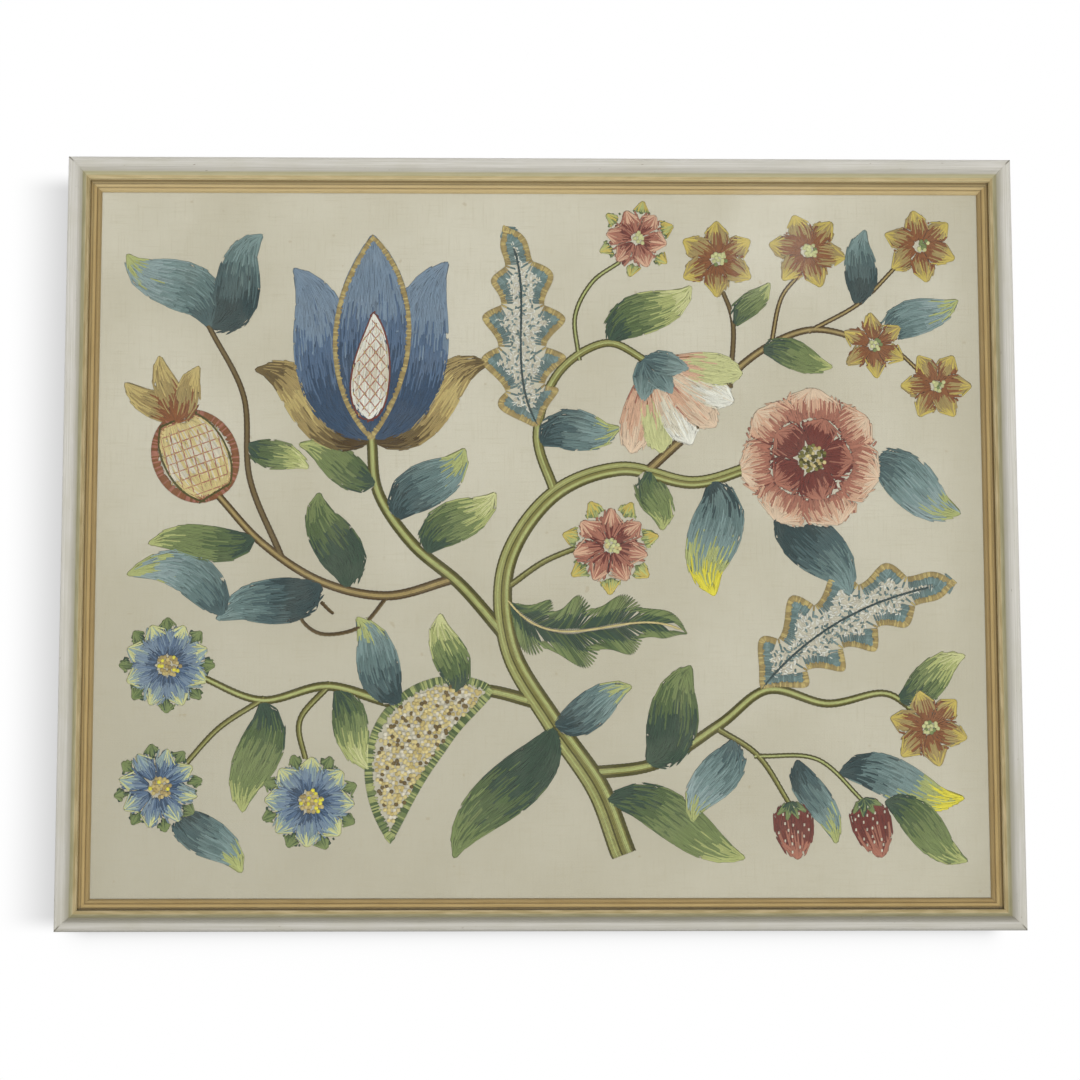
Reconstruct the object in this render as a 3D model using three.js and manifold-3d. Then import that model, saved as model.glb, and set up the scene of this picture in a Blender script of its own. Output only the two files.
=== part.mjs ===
// Framed crewel embroidery panel, upright as it hangs on a wall: a mitred cream moulding, a pane of glass,
// a gilt slip, the stitched linen and a backing board. X runs along the panel, Z is up, the back
// lies on the plane y = 0 and the stitched face looks along -Y. The origin is the middle of the top
// rail's back face, where the panel meets the wall.
import * as THREE from 'three';
import { mergeVertices } from 'three/addons/utils/BufferGeometryUtils.js';
import Module from 'manifold-3d';

const wasm = await Module();
wasm.setup();

// Driving dimensions, in mm
const WIDTH = 548;
const HEIGHT = 446;
const GAP = 0.3;
const CURVE_STEPS = 5;

// Moulding section: across counts inward from the outer edge, depth forward from the wall
const RAIL_BACK = 6;
const RAIL_SIDE_DEPTH = 18.7;
const CREST = 3.4;
const CREST_RISE = 3;
const COVE = 9.9;
const COVE_DEPTH = 15.2;
const CREST_EASE = 3.8;
const COVE_EASE = 2.3;
const FILLET_RADIUS = 0.95;
const FILLET_DEPTH = 14.6;
const FILLET_START = 0.78 * Math.PI;
const LIP = 12;

// Gilt slip section
const SLIP_THICKNESS = 1.2;
const SIGHT = 18.4;
const OUTER_BEAD = { middle: 14.4, half: 1.3, rise: 1.1 };
const INNER_BEAD = { middle: 16.8, half: 1.1, rise: 0.8 };
const SIGHT_DROP = 0.5;

// Flat layers
const BOARD_RECESS = 2.5;
const BOARD_THICKNESS = 3;
const LINEN_THICKNESS = 1.5;
const GLASS_THICKNESS = 2;

// Stitched relief: how far the wool stands off the linen and how deep its pads root in it
const STEM_RISE = 0.7;
const LEAF_RISE = 0.8;
const FLOWER_RISE = 0.95;
const ROOT = 0.5;
const STEM_STEP = 13;
const STEM_STEPS_LEAST = 4;
const LEAF_STEPS = 7;
const LEAF_TRIM = 0.02;
const STEPS_PER_LOBE = 3;
const LOBE_CUT = 0.4;
const LOBE_SWELL = 1.2;
const LOBE_LEAN = 1.9;
const POINTED = 0.85;
const ROUND = 0.5;

// Needlework layout, in mm from the middle of the linen, x to the right and y up.
// Stems: points along the stem, width at its start and end
const STEMS = [
  [[[46, -178], [32, -142], [6, -104], [-18, -62], [-20, -14],
    [6, 26], [46, 42], [88, 34], [124, 44]], 15, 6],
  [[[-20, -56], [-46, -26], [-74, -2], [-94, 28], [-98, 60]], 8, 6],
  [[[0, -94], [-38, -86], [-80, -94], [-122, -84], [-160, -92], [-196, -78]], 8, 3.2],
  [[[-122, -84], [-138, -104], [-134, -128]], 4, 3],
  [[[-160, -92], [-184, -108], [-204, -130]], 3.5, 3],
  [[[-50, -22], [-88, -32], [-126, -24], [-160, -2], [-186, 26]], 6, 4],
  [[[-150, -8], [-168, 36], [-172, 84], [-192, 124]], 4, 2.8],
  [[[8, 28], [-2, 62], [10, 98], [38, 116], [64, 104]], 6.5, 4],
  [[[62, 41], [92, 70], [118, 104], [156, 124], [196, 116]], 6, 3],
  [[[110, 92], [112, 128], [104, 152]], 3.2, 2.2],
  [[[134, 114], [140, 142], [152, 158]], 3, 2.2],
  [[[158, 124], [186, 140], [208, 162]], 3, 2.2],
  [[[182, 119], [206, 112], [222, 98]], 2.6, 2.2],
  [[[27, -134], [66, -128], [102, -106], [130, -86], [164, -94], [196, -88], [214, -98]], 8, 3],
  [[[100, -108], [124, -124], [142, -152]], 4, 2.6],
  [[[124, -124], [158, -126], [184, -150]], 3, 2.4],
  [[[-88, -32], [-104, -50], [-126, -54], [-138, -44], [-130, -34], [-121, -41]], 2.2, 1.4],
  [[[-18, -26], [2, -12], [26, -2]], 4, 3],
  [[[22, 108], [20, 132], [30, 152], [46, 164]], 3, 2.4],
];

// Leaves, petals and fruit: base, tip, sway to the left at a third and at two thirds,
// half width left and right, where the widest place lies, fullness of the ends, lobes a side
const LEAVES = [
  [[126, -86], [240, -24], [9, 8], [26, 24], 0.42, POINTED, 5],
  [[-1, 66], [-22, 186], [8, -8], [22, 25], 0.42, POINTED, 5],
  [[-26, -86], [-86, -174], [-20, -14], [22, 21], 0.45, POINTED, 0],
  [[8, -106], [-50, -182], [9, -7], [14, 16], 0.45, POINTED, 0],
  [[36, -150], [116, -182], [11, -5], [14, 12], 0.45, POINTED, 0],
  [[-18, -36], [84, -54], [-16, 8], [20, 21], 0.42, POINTED, 4],
  [[-80, -94], [-106, -44], [7, -5], [12, 13], 0.42, POINTED, 0],
  [[-50, -88], [-58, -42], [-6, 4], [11, 10], 0.42, POINTED, 0],
  [[-160, -92], [-170, -156], [9, -5], [13, 13], 0.45, POINTED, 0],
  [[-126, -24], [-186, -46], [7, -7], [14, 13], 0.4, POINTED, 0],
  [[-112, -28], [-128, 28], [-7, 7], [13, 14], 0.42, POINTED, 0],
  [[-182, -44], [-238, -20], [-9, -11], [12, 13], 0.4, POINTED, 0],
  [[-66, -8], [-26, 28], [8, -5], [13, 12], 0.42, POINTED, 0],
  [[-84, 12], [-44, 54], [7, -7], [14, 13], 0.42, POINTED, 0],
  [[-1, 56], [46, 66], [9, -5], [13, 12], 0.42, POINTED, 0],
  [[40, 116], [88, 150], [8, -6], [13, 12], 0.42, POINTED, 0],
  [[98, 36], [100, -32], [9, -9], [16, 15], 0.45, POINTED, 0],
  [[140, 22], [178, -32], [-5, 7], [15, 16], 0.42, POINTED, 0],
  [[190, 46], [243, 16], [7, -7], [15, 14], 0.42, POINTED, 0],
  [[64, 42], [70, 6], [-6, 5], [10, 10], 0.42, POINTED, 0],
  [[128, 112], [170, 102], [5, -3], [9, 9], 0.42, POINTED, 0],
  [[200, 116], [244, 142], [8, -3], [11, 11], 0.42, POINTED, 0],
  [[60, -129], [86, -72], [-9, 5], [15, 15], 0.42, POINTED, 0],
  [[204, -92], [244, -66], [-6, 5], [11, 10], 0.42, POINTED, 0],
  [[146, -126], [168, -174], [-4, 5], [9, 9], 0.42, POINTED, 0],
  [[170, -134], [242, -148], [9, -7], [12, 12], 0.42, POINTED, 0],
  [[-170, 56], [-134, 42], [-3, 4], [9, 9], 0.42, POINTED, 0],
  [[-192, 124], [-241, 168], [-15, 7], [15, 15], 0.4, POINTED, 0],
  [[-192, 124], [-162, 180], [-11, 9], [14, 13], 0.4, POINTED, 0],
  [[-118, -86], [-98, -132], [5, -5], [10, 11], 0.42, POINTED, 0],
  [[6, -106], [52, -84], [-6, 4], [11, 11], 0.42, POINTED, 0],
  [[184, 139], [190, 184], [-4, 4], [10, 10], 0.42, POINTED, 0],
  [[-164, 2], [-226, -2], [6, -5], [11, 10], 0.42, POINTED, 0],
  [[113, 126], [134, 152], [4, -3], [8, 7], 0.42, POINTED, 0],
  [[-208, -152], [-170, -190], [-6, 6], [12, 11], 0.42, POINTED, 0],
  [[110, -114], [86, -162], [6, -6], [12, 12], 0.42, POINTED, 0],
  [[-94, 34], [-140, 56], [5, -6], [11, 10], 0.42, POINTED, 0],
  [[196, -150], [243, -184], [7, -6], [11, 11], 0.42, POINTED, 0],
  [[-98, 58], [-166, 100], [13, -11], [13, 14], 0.5, POINTED, 0],
  [[-98, 58], [-30, 104], [-13, 11], [14, 13], 0.5, POINTED, 0],
  [[-98, 58], [-144, 160], [15, -9], [18, 18], 0.5, POINTED, 0],
  [[-98, 58], [-54, 164], [-15, 9], [18, 18], 0.5, POINTED, 0],
  [[-98, 58], [-98, 180], [2, -2], [23, 23], 0.5, POINTED, 0],
  [[-186, 24], [-213, 74], [0, 0], [25, 25], 0.5, ROUND, 0],
  [[-211, 68], [-241, 92], [-3, 3], [8, 8], 0.42, POINTED, 0],
  [[-211, 68], [-221, 108], [-3, 3], [8, 8], 0.42, POINTED, 0],
  [[-211, 68], [-198, 102], [-3, 3], [8, 8], 0.42, POINTED, 0],
  [[142, -150], [146, -183], [0, 0], [12, 12], 0.36, ROUND, 0],
  [[184, -148], [194, -182], [0, 0], [12, 12], 0.36, ROUND, 0],
];

// Fan blossom: slim petals spread from one point between two bearings in degrees
const FAN = { base: [62, 106], reach: 56, half: 10, widest: 0.7, petals: 6, from: -100, to: -8 };

// Round blossoms: middle, radius, petals, turn in degrees
const BLOSSOMS = [
  [[156, 48], 42, 7, 10],
  [[40, -3], 26, 7, 12],
  [[56, 178], 21, 6, 20],
  [[-214, -72], 27, 8, 0],
  [[-132, -150], 28, 8, 20],
  [[-218, -142], 25, 8, 10],
  [[103, 166], 22, 6, 0],
  [[156, 171], 22, 6, 20],
  [[222, 174], 21, 6, 10],
  [[230, 91], 20, 6, 30],
  [[194, 115], 19, 6, 5],
  [[222, -108], 22, 6, 15],
];
const NOTCH = 0.2;
const RIM_STEPS = 3;
const SHOULDER = 0.6;
const SHOULDER_RISE = 0.8;

// Depths that follow from the layers: board, linen, slip on the linen, glass over the slip, rail ledge;
// and the panel's middle seen from the origin
const LINEN_BACK = BOARD_RECESS + BOARD_THICKNESS + GAP;
const LINEN_FRONT = LINEN_BACK + LINEN_THICKNESS;
const SLIP_BACK = LINEN_FRONT + GAP;
const SLIP_FLAT = SLIP_BACK + SLIP_THICKNESS;
const GLASS_BACK = SLIP_FLAT + OUTER_BEAD.rise + GAP;
const LEDGE_DEPTH = GLASS_BACK + GLASS_THICKNESS + GAP;
const REBATE = RAIL_BACK + GAP;
const MIDDLE_Z = RAIL_BACK / 2 - HEIGHT / 2;

const FINISHES = {
  cream: { color: 0xc8c6ba, roughness: 0.55, metalness: 0 },
  gilt: { color: 0xbea56e, roughness: 0.4, metalness: 0.6 },
  glass: { color: 0xeef4f0, roughness: 0.05, metalness: 0, transparent: true, opacity: 0.2 },
  linen: { color: 0xc8c0ac, roughness: 0.95, metalness: 0 },
  board: { color: 0x8a6b4a, roughness: 0.9, metalness: 0 },
};

function piece(name, geometry, finish) {
  const mesh = new THREE.Mesh(geometry, new THREE.MeshStandardMaterial(FINISHES[finish]));
  mesh.name = name;
  return mesh;
}

// Moulding sections

function railSection() {
  const section = new THREE.Shape();
  section.moveTo(0, 0);
  section.lineTo(0, RAIL_SIDE_DEPTH);
  section.absellipse(CREST, RAIL_SIDE_DEPTH, CREST, CREST_RISE, Math.PI, Math.PI / 2, true);
  const crestDepth = RAIL_SIDE_DEPTH + CREST_RISE;
  section.bezierCurveTo(CREST + CREST_EASE, crestDepth, COVE - COVE_EASE, COVE_DEPTH, COVE, COVE_DEPTH);
  section.absarc(LIP - FILLET_RADIUS, FILLET_DEPTH, FILLET_RADIUS, FILLET_START, 0, true);
  section.lineTo(LIP, LEDGE_DEPTH);
  section.lineTo(RAIL_BACK, LEDGE_DEPTH);
  section.lineTo(RAIL_BACK, 0);
  return section;
}

function slipSection() {
  const section = new THREE.Shape();
  section.moveTo(REBATE, SLIP_BACK);
  section.lineTo(REBATE, SLIP_FLAT);
  for (const { middle, half, rise } of [OUTER_BEAD, INNER_BEAD]) {
    section.lineTo(middle - half, SLIP_FLAT);
    section.absellipse(middle, SLIP_FLAT, half, rise, Math.PI, 0, true);
  }
  section.lineTo(SIGHT, SLIP_FLAT - SIGHT_DROP);
  section.lineTo(SIGHT, SLIP_BACK);
  return section;
}

// One side of a mitred border, lying along X at the bottom: each end is sheared to 45 degrees,
// half a gap short of the mitre.
function mitredSide(section, length) {
  const sweep = { depth: 1, bevelEnabled: false, curveSegments: CURVE_STEPS };
  const geometry = new THREE.ExtrudeGeometry(section, sweep);
  const position = geometry.attributes.position;
  for (let i = 0; i < position.count; i += 1) {
    const across = position.getX(i);
    const depth = position.getY(i);
    const reach = length / 2 - across - GAP * Math.SQRT1_2;
    position.setXYZ(i, position.getZ(i) > 0 ? reach : -reach, -depth, across);
  }
  geometry.computeVertexNormals();
  return geometry;
}

function border(prefix, section, finish) {
  const sides = [
    ['bottom', WIDTH, HEIGHT / 2, 0],
    ['right', HEIGHT, WIDTH / 2, -Math.PI / 2],
    ['top', WIDTH, HEIGHT / 2, Math.PI],
    ['left', HEIGHT, WIDTH / 2, Math.PI / 2],
  ];
  const group = new THREE.Group();
  for (const [side, length, reach, turn] of sides) {
    const mesh = piece(`${prefix}_${side}`, mitredSide(section, length), finish);
    mesh.position.z = -reach;
    const turned = new THREE.Group();
    turned.rotation.y = turn;
    turned.add(mesh);
    group.add(turned);
  }
  return group;
}

// Flat layers that fill the rebate

function layerGeometry(thickness) {
  return new THREE.BoxGeometry(WIDTH - 2 * REBATE, thickness, HEIGHT - 2 * REBATE);
}

function layer(name, back, thickness, finish) {
  const mesh = piece(name, layerGeometry(thickness), finish);
  mesh.position.y = -(back + thickness / 2);
  return mesh;
}

// Stitched relief. Pads are built with x and y in the linen's plane and z off its front.

function padGeometry(points, faces) {
  const geometry = new THREE.BufferGeometry();
  geometry.setAttribute('position', new THREE.Float32BufferAttribute(points.flat(), 3));
  geometry.setIndex(faces.flat());
  return geometry;
}

// A pad whose section, a low dome on a flat sole, follows a spine with a half width on each side.
// The dome's rows give the share of the half width and of the rise.
const DOME = [[1, 0], [0, 1], [-1, 0]];

function stripPad(spine, halves, rise) {
  const points = [];
  const faces = [];
  const ring = DOME.length;
  spine.forEach((point, i) => {
    const ahead = spine[Math.min(i + 1, spine.length - 1)];
    const behind = spine[Math.max(i - 1, 0)];
    const left = new THREE.Vector2(behind.y - ahead.y, ahead.x - behind.x).normalize();
    for (const [share, lift] of DOME) {
      const reach = share * halves[i][share > 0 ? 0 : 1];
      points.push([point.x + left.x * reach, point.y + left.y * reach, lift * (rise + ROOT) - ROOT]);
    }
  });
  for (let i = 0; i + 1 < spine.length; i += 1) {
    for (let k = 0; k < ring; k += 1) {
      const next = (k + 1) % ring;
      const [a, b, c, d] = [i * ring + k, i * ring + next, (i + 1) * ring + next, (i + 1) * ring + k];
      faces.push([a, b, c], [a, c, d]);
    }
  }
  const last = (spine.length - 1) * ring;
  for (let k = 1; k + 1 < ring; k += 1) {
    faces.push([0, k + 1, k], [last, last + k, last + k + 1]);
  }
  return padGeometry(points, faces);
}

function stemPad([route, startWidth, endWidth]) {
  const places = route.map(([x, y]) => new THREE.Vector3(x, y, 0));
  const curve = new THREE.CatmullRomCurve3(places, false, 'catmullrom');
  const steps = Math.max(STEM_STEPS_LEAST, Math.round(curve.getLength() / STEM_STEP));
  const halves = [];
  for (let i = 0; i <= steps; i += 1) {
    const half = THREE.MathUtils.lerp(startWidth, endWidth, i / steps) / 2;
    halves.push([half, half]);
  }
  return stripPad(curve.getSpacedPoints(steps), halves, STEM_RISE);
}

// Share of a leaf's half width at a place along it, with lobes that lean to its tip where it has them.
function leafShare(along, widest, ends, lobes) {
  const start = (ends * widest) / (1 - widest);
  const full = widest ** start * (1 - widest) ** ends;
  const share = (along ** start * (1 - along) ** ends) / full;
  if (lobes === 0) {
    return share;
  }
  const phase = (along * lobes) % 1;
  const tooth = Math.sin(Math.PI * phase ** LOBE_LEAN);
  return share * (1 - LOBE_CUT + LOBE_SWELL * LOBE_CUT * tooth);
}

function leafPad([base, tip, sway, half, widest, ends, lobes]) {
  const from = new THREE.Vector2(...base);
  const to = new THREE.Vector2(...tip);
  const run = to.clone().sub(from);
  const left = new THREE.Vector2(-run.y, run.x).normalize();
  const pull = (share, offset) => from.clone().addScaledVector(run, share).addScaledVector(left, 2 * offset);
  const curve = new THREE.CubicBezierCurve(from, pull(1 / 3, sway[0]), pull(2 / 3, sway[1]), to);
  const steps = lobes === 0 ? LEAF_STEPS : lobes * STEPS_PER_LOBE + 1;
  const spine = [];
  const halves = [];
  for (let i = 0; i <= steps; i += 1) {
    const along = THREE.MathUtils.lerp(LEAF_TRIM, 1 - LEAF_TRIM, i / steps);
    const share = leafShare(along, widest, ends, lobes);
    spine.push(curve.getPoint(along));
    halves.push([half[0] * share, half[1] * share]);
  }
  return stripPad(spine, halves, LEAF_RISE);
}

function fanPads({ base, reach, half, widest, petals, from, to }) {
  const pads = [];
  for (let i = 0; i < petals; i += 1) {
    const bearing = THREE.MathUtils.degToRad(THREE.MathUtils.lerp(from, to, i / (petals - 1)));
    const tip = [base[0] + reach * Math.cos(bearing), base[1] + reach * Math.sin(bearing)];
    pads.push(leafPad([base, tip, [0, 0], [half, half], widest, ROUND, 0]));
  }
  return pads;
}

// A round blossom: a notched rim, a shoulder ring and a middle, closed by a flat sole.
function blossomPad([middle, radius, petals, turn]) {
  const rim = petals * RIM_STEPS;
  const points = [[...middle, FLOWER_RISE], [...middle, -ROOT]];
  const faces = [];
  for (let i = 0; i < rim; i += 1) {
    const angle = (2 * Math.PI * i) / rim;
    const petal = Math.abs(Math.sin((petals * angle) / 2));
    const reach = radius * (1 - NOTCH * (1 - petal));
    const bearing = angle + THREE.MathUtils.degToRad(turn);
    const x = Math.cos(bearing) * reach;
    const y = Math.sin(bearing) * reach;
    points.push([middle[0] + x, middle[1] + y, -ROOT]);
    points.push([middle[0] + SHOULDER * x, middle[1] + SHOULDER * y, SHOULDER_RISE * FLOWER_RISE]);
    const [edge, shoulder] = [2 + 2 * i, 3 + 2 * i];
    const [nextEdge, nextShoulder] = [2 + 2 * ((i + 1) % rim), 3 + 2 * ((i + 1) % rim)];
    faces.push([0, shoulder, nextShoulder], [1, nextEdge, edge]);
    faces.push([edge, nextEdge, nextShoulder], [edge, nextShoulder, shoulder]);
  }
  return padGeometry(points, faces);
}

function toSolid(geometry) {
  const bare = geometry.clone();
  bare.deleteAttribute('normal');
  bare.deleteAttribute('uv');
  const merged = mergeVertices(bare);
  const vertProperties = new Float32Array(merged.attributes.position.array);
  const triVerts = new Uint32Array(merged.index.array);
  return new wasm.Manifold(new wasm.Mesh({ numProp: 3, vertProperties, triVerts }));
}

function toGeometry(solid) {
  const { vertProperties, triVerts } = solid.getMesh();
  const geometry = new THREE.BufferGeometry();
  geometry.setAttribute('position', new THREE.BufferAttribute(vertProperties, 3));
  geometry.setIndex(new THREE.BufferAttribute(triVerts, 1));
  geometry.computeVertexNormals();
  return geometry;
}

function stitchedLinen() {
  const sheet = layerGeometry(LINEN_THICKNESS);
  sheet.rotateX(-Math.PI / 2);
  sheet.translate(0, 0, -LINEN_THICKNESS / 2);
  const pads = [
    ...STEMS.map(stemPad),
    ...LEAVES.map(leafPad),
    ...fanPads(FAN),
    ...BLOSSOMS.map(blossomPad),
  ];
  const relief = pads.map(toSolid).reduce((whole, pad) => whole.add(pad));
  const mesh = piece('linen', toGeometry(toSolid(sheet).add(relief)), 'linen');
  mesh.rotation.x = Math.PI / 2;
  mesh.position.y = -LINEN_FRONT;
  return mesh;
}

const panel = new THREE.Group();
panel.position.z = MIDDLE_Z;
panel.add(border('rail', railSection(), 'cream'));
panel.add(border('slip', slipSection(), 'gilt'));
panel.add(layer('glass', GLASS_BACK, GLASS_THICKNESS, 'glass'));
panel.add(stitchedLinen());
panel.add(layer('backing_board', BOARD_RECESS, BOARD_THICKNESS, 'board'));

const object = new THREE.Group();
object.add(panel);

export default object;
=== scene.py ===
"""Looks of the framed crewel embroidery panel: moulding, gilt slip, glass, linen, wool stitches and board.

Needlework sizes are in mm on the linen, x to the right and y up from its middle. Meshes are in metres.
"""
import math
import random
from collections import namedtuple

import bpy
import numpy as np
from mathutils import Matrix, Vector


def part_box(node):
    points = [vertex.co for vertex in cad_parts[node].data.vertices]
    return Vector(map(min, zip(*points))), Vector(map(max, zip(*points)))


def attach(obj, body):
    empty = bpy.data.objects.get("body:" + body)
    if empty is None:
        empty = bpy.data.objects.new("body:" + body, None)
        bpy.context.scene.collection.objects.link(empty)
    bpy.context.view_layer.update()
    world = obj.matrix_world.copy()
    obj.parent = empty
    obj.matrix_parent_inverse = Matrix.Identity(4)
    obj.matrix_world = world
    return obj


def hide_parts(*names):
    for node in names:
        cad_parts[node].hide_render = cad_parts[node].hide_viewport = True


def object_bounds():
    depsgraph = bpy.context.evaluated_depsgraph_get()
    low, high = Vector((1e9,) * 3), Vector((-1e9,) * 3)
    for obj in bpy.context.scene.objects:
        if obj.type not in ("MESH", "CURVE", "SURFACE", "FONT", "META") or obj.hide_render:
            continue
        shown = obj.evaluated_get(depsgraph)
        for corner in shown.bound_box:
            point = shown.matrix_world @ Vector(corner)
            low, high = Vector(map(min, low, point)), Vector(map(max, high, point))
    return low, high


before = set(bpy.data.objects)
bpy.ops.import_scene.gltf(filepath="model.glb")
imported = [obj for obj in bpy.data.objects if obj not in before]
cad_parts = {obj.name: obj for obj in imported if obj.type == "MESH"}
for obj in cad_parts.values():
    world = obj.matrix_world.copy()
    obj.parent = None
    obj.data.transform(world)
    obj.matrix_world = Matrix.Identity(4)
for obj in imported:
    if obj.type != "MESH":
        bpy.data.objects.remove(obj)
cad_low, cad_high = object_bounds()

MM = 0.001
draw = random.Random(1762)

# Places taken from the frame
CENTRE_Z = (cad_low.z + cad_high.z) / 2
LINEN_LOW, LINEN_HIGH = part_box("linen")
LINEN_FLAT = (LINEN_HIGH[0] - LINEN_LOW[0], LINEN_HIGH[2] - LINEN_LOW[2])
LINEN_THICKNESS = 1.5 * MM
LINEN_FACE_Y = LINEN_HIGH[1] - LINEN_THICKNESS
WIDTH = (cad_high.x - cad_low.x) / MM
HEIGHT = (cad_high.z - cad_low.z) / MM

# Needlework layout, the same as the raised pads of the solid linen
POINTED = 0.85
ROUND = 0.5
LOBE_CUT = 0.4
LOBE_SWELL = 1.2
LOBE_LEAN = 1.9
Stem = namedtuple("Stem", "route start end wools")
Leaf = namedtuple("Leaf", "base tip sway half dress widest ends lobes", defaults=(0.42, POINTED, 0))
Blossom = namedtuple("Blossom", "middle radius petals turn kind")

TRUNK = ("olive", "stalk", "lime", "stalk", "olive", "moss", "stalk", "lime", "moss", "olive")
BRANCH = ("olive", "stalk", "lime", "moss", "olive")
BARK = ("brown", "bark", "ochre", "bark", "brown")
TENDRIL = ("bark", "brown")
STEMS = [
    Stem([(46, -178), (32, -142), (6, -104), (-18, -62), (-20, -14), (6, 26), (46, 42), (88, 34), (124, 44)],
         15, 6, TRUNK),
    Stem([(-20, -56), (-46, -26), (-74, -2), (-94, 28), (-98, 60)], 8, 6, BRANCH),
    Stem([(0, -94), (-38, -86), (-80, -94), (-122, -84), (-160, -92), (-196, -78)], 8, 3.2, BRANCH),
    Stem([(-122, -84), (-138, -104), (-134, -128)], 4, 3, BRANCH),
    Stem([(-160, -92), (-184, -108), (-204, -130)], 3.5, 3, BRANCH),
    Stem([(-50, -22), (-88, -32), (-126, -24), (-160, -2), (-186, 26)], 6, 4, BARK),
    Stem([(-150, -8), (-168, 36), (-172, 84), (-192, 124)], 4, 2.8, BARK),
    Stem([(8, 28), (-2, 62), (10, 98), (38, 116), (64, 104)], 6.5, 4, BRANCH),
    Stem([(62, 41), (92, 70), (118, 104), (156, 124), (196, 116)], 6, 3, BARK),
    Stem([(110, 92), (112, 128), (104, 152)], 3.2, 2.2, BARK),
    Stem([(134, 114), (140, 142), (152, 158)], 3, 2.2, BARK),
    Stem([(158, 124), (186, 140), (208, 162)], 3, 2.2, BARK),
    Stem([(182, 119), (206, 112), (222, 98)], 2.6, 2.2, BARK),
    Stem([(27, -134), (66, -128), (102, -106), (130, -86), (164, -94), (196, -88), (214, -98)], 8, 3, BRANCH),
    Stem([(100, -108), (124, -124), (142, -152)], 4, 2.6, BRANCH),
    Stem([(124, -124), (158, -126), (184, -150)], 3, 2.4, BRANCH),
    Stem([(-88, -32), (-104, -50), (-126, -54), (-138, -44), (-130, -34), (-121, -41)], 2.2, 1.4, TENDRIL),
    Stem([(-18, -26), (2, -12), (26, -2)], 4, 3, BRANCH),
    Stem([(22, 108), (20, 132), (30, 152), (46, 164)], 3, 2.4, BRANCH),
]
LEAVES = [Leaf(*row) for row in (
    ((126, -86), (240, -24), (9, 8), (26, 24), "seeded", 0.42, POINTED, 5),
    ((-1, 66), (-22, 186), (8, -8), (22, 25), "seeded", 0.42, POINTED, 5),
    ((-26, -86), (-86, -174), (-20, -14), (22, 21), "knotted", 0.45),
    ((8, -106), (-50, -182), (9, -7), (14, 16), "forest", 0.45),
    ((36, -150), (116, -182), (11, -5), (14, 12), "sage", 0.45),
    ((-18, -36), (84, -54), (-16, 8), (20, 21), "fishbone", 0.42, POINTED, 4),
    ((-80, -94), (-106, -44), (7, -5), (12, 13), "teal"),
    ((-50, -88), (-58, -42), (-6, 4), (11, 10), "lime"),
    ((-160, -92), (-170, -156), (9, -5), (13, 13), "sage", 0.45),
    ((-126, -24), (-186, -46), (7, -7), (14, 13), "navy", 0.4),
    ((-112, -28), (-128, 28), (-7, 7), (13, 14), "forest"),
    ((-182, -44), (-238, -20), (-9, -11), (12, 13), "turnover", 0.4),
    ((-66, -8), (-26, 28), (8, -5), (13, 12), "lime"),
    ((-84, 12), (-44, 54), (7, -7), (14, 13), "teal"),
    ((-1, 56), (46, 66), (9, -5), (13, 12), "teal"),
    ((40, 116), (88, 150), (8, -6), (13, 12), "lime"),
    ((98, 36), (100, -32), (9, -9), (16, 15), "yellow_tip", 0.45),
    ((140, 22), (178, -32), (-5, 7), (15, 16), "navy"),
    ((190, 46), (243, 16), (7, -7), (15, 14), "turnover"),
    ((64, 42), (70, 6), (-6, 5), (10, 10), "sage"),
    ((128, 112), (170, 102), (5, -3), (9, 9), "sage"),
    ((200, 116), (244, 142), (8, -3), (11, 11), "turnover"),
    ((60, -129), (86, -72), (-9, 5), (15, 15), "forest"),
    ((204, -92), (244, -66), (-6, 5), (11, 10), "lime"),
    ((146, -126), (168, -174), (-4, 5), (9, 9), "teal"),
    ((170, -134), (242, -148), (9, -7), (12, 12), "yellow_tip"),
    ((-170, 56), (-134, 42), (-3, 4), (9, 9), "lime"),
    ((-192, 124), (-241, 168), (-15, 7), (15, 15), "turnover", 0.4),
    ((-192, 124), (-162, 180), (-11, 9), (14, 13), "navy", 0.4),
    ((-118, -86), (-98, -132), (5, -5), (10, 11), "lime"),
    ((6, -106), (52, -84), (-6, 4), (11, 11), "teal"),
    ((184, 139), (190, 184), (-4, 4), (10, 10), "navy"),
    ((-164, 2), (-226, -2), (6, -5), (11, 10), "sage"),
    ((113, 126), (134, 152), (4, -3), (8, 7), "sage"),
    ((-208, -152), (-170, -190), (-6, 6), (12, 11), "teal"),
    ((110, -114), (86, -162), (6, -6), (12, 12), "turnover"),
    ((-94, 34), (-140, 56), (5, -6), (11, 10), "sage"),
    ((196, -150), (243, -184), (7, -6), (11, 11), "sage"),
)]
PETALS = [Leaf(*row) for row in (
    ((-98, 58), (-166, 100), (13, -11), (13, 14), "sepal", 0.5),
    ((-98, 58), (-30, 104), (-13, 11), (14, 13), "sepal", 0.5),
    ((-98, 58), (-144, 160), (15, -9), (18, 18), "blue", 0.5),
    ((-98, 58), (-54, 164), (-15, 9), (18, 18), "blue", 0.5),
    ((-98, 58), (-98, 180), (2, -2), (23, 23), "lined", 0.5),
    ((-186, 24), (-213, 74), (0, 0), (25, 25), "trellis", 0.5, ROUND),
    ((-211, 68), (-241, 92), (-3, 3), (8, 8), "crown"),
    ((-211, 68), (-221, 108), (-3, 3), (8, 8), "crown"),
    ((-211, 68), (-198, 102), (-3, 3), (8, 8), "crown"),
    ((142, -150), (146, -183), (0, 0), (12, 12), "berry", 0.36, ROUND),
    ((184, -148), (194, -182), (0, 0), (12, 12), "berry", 0.36, ROUND),
)]
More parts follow.
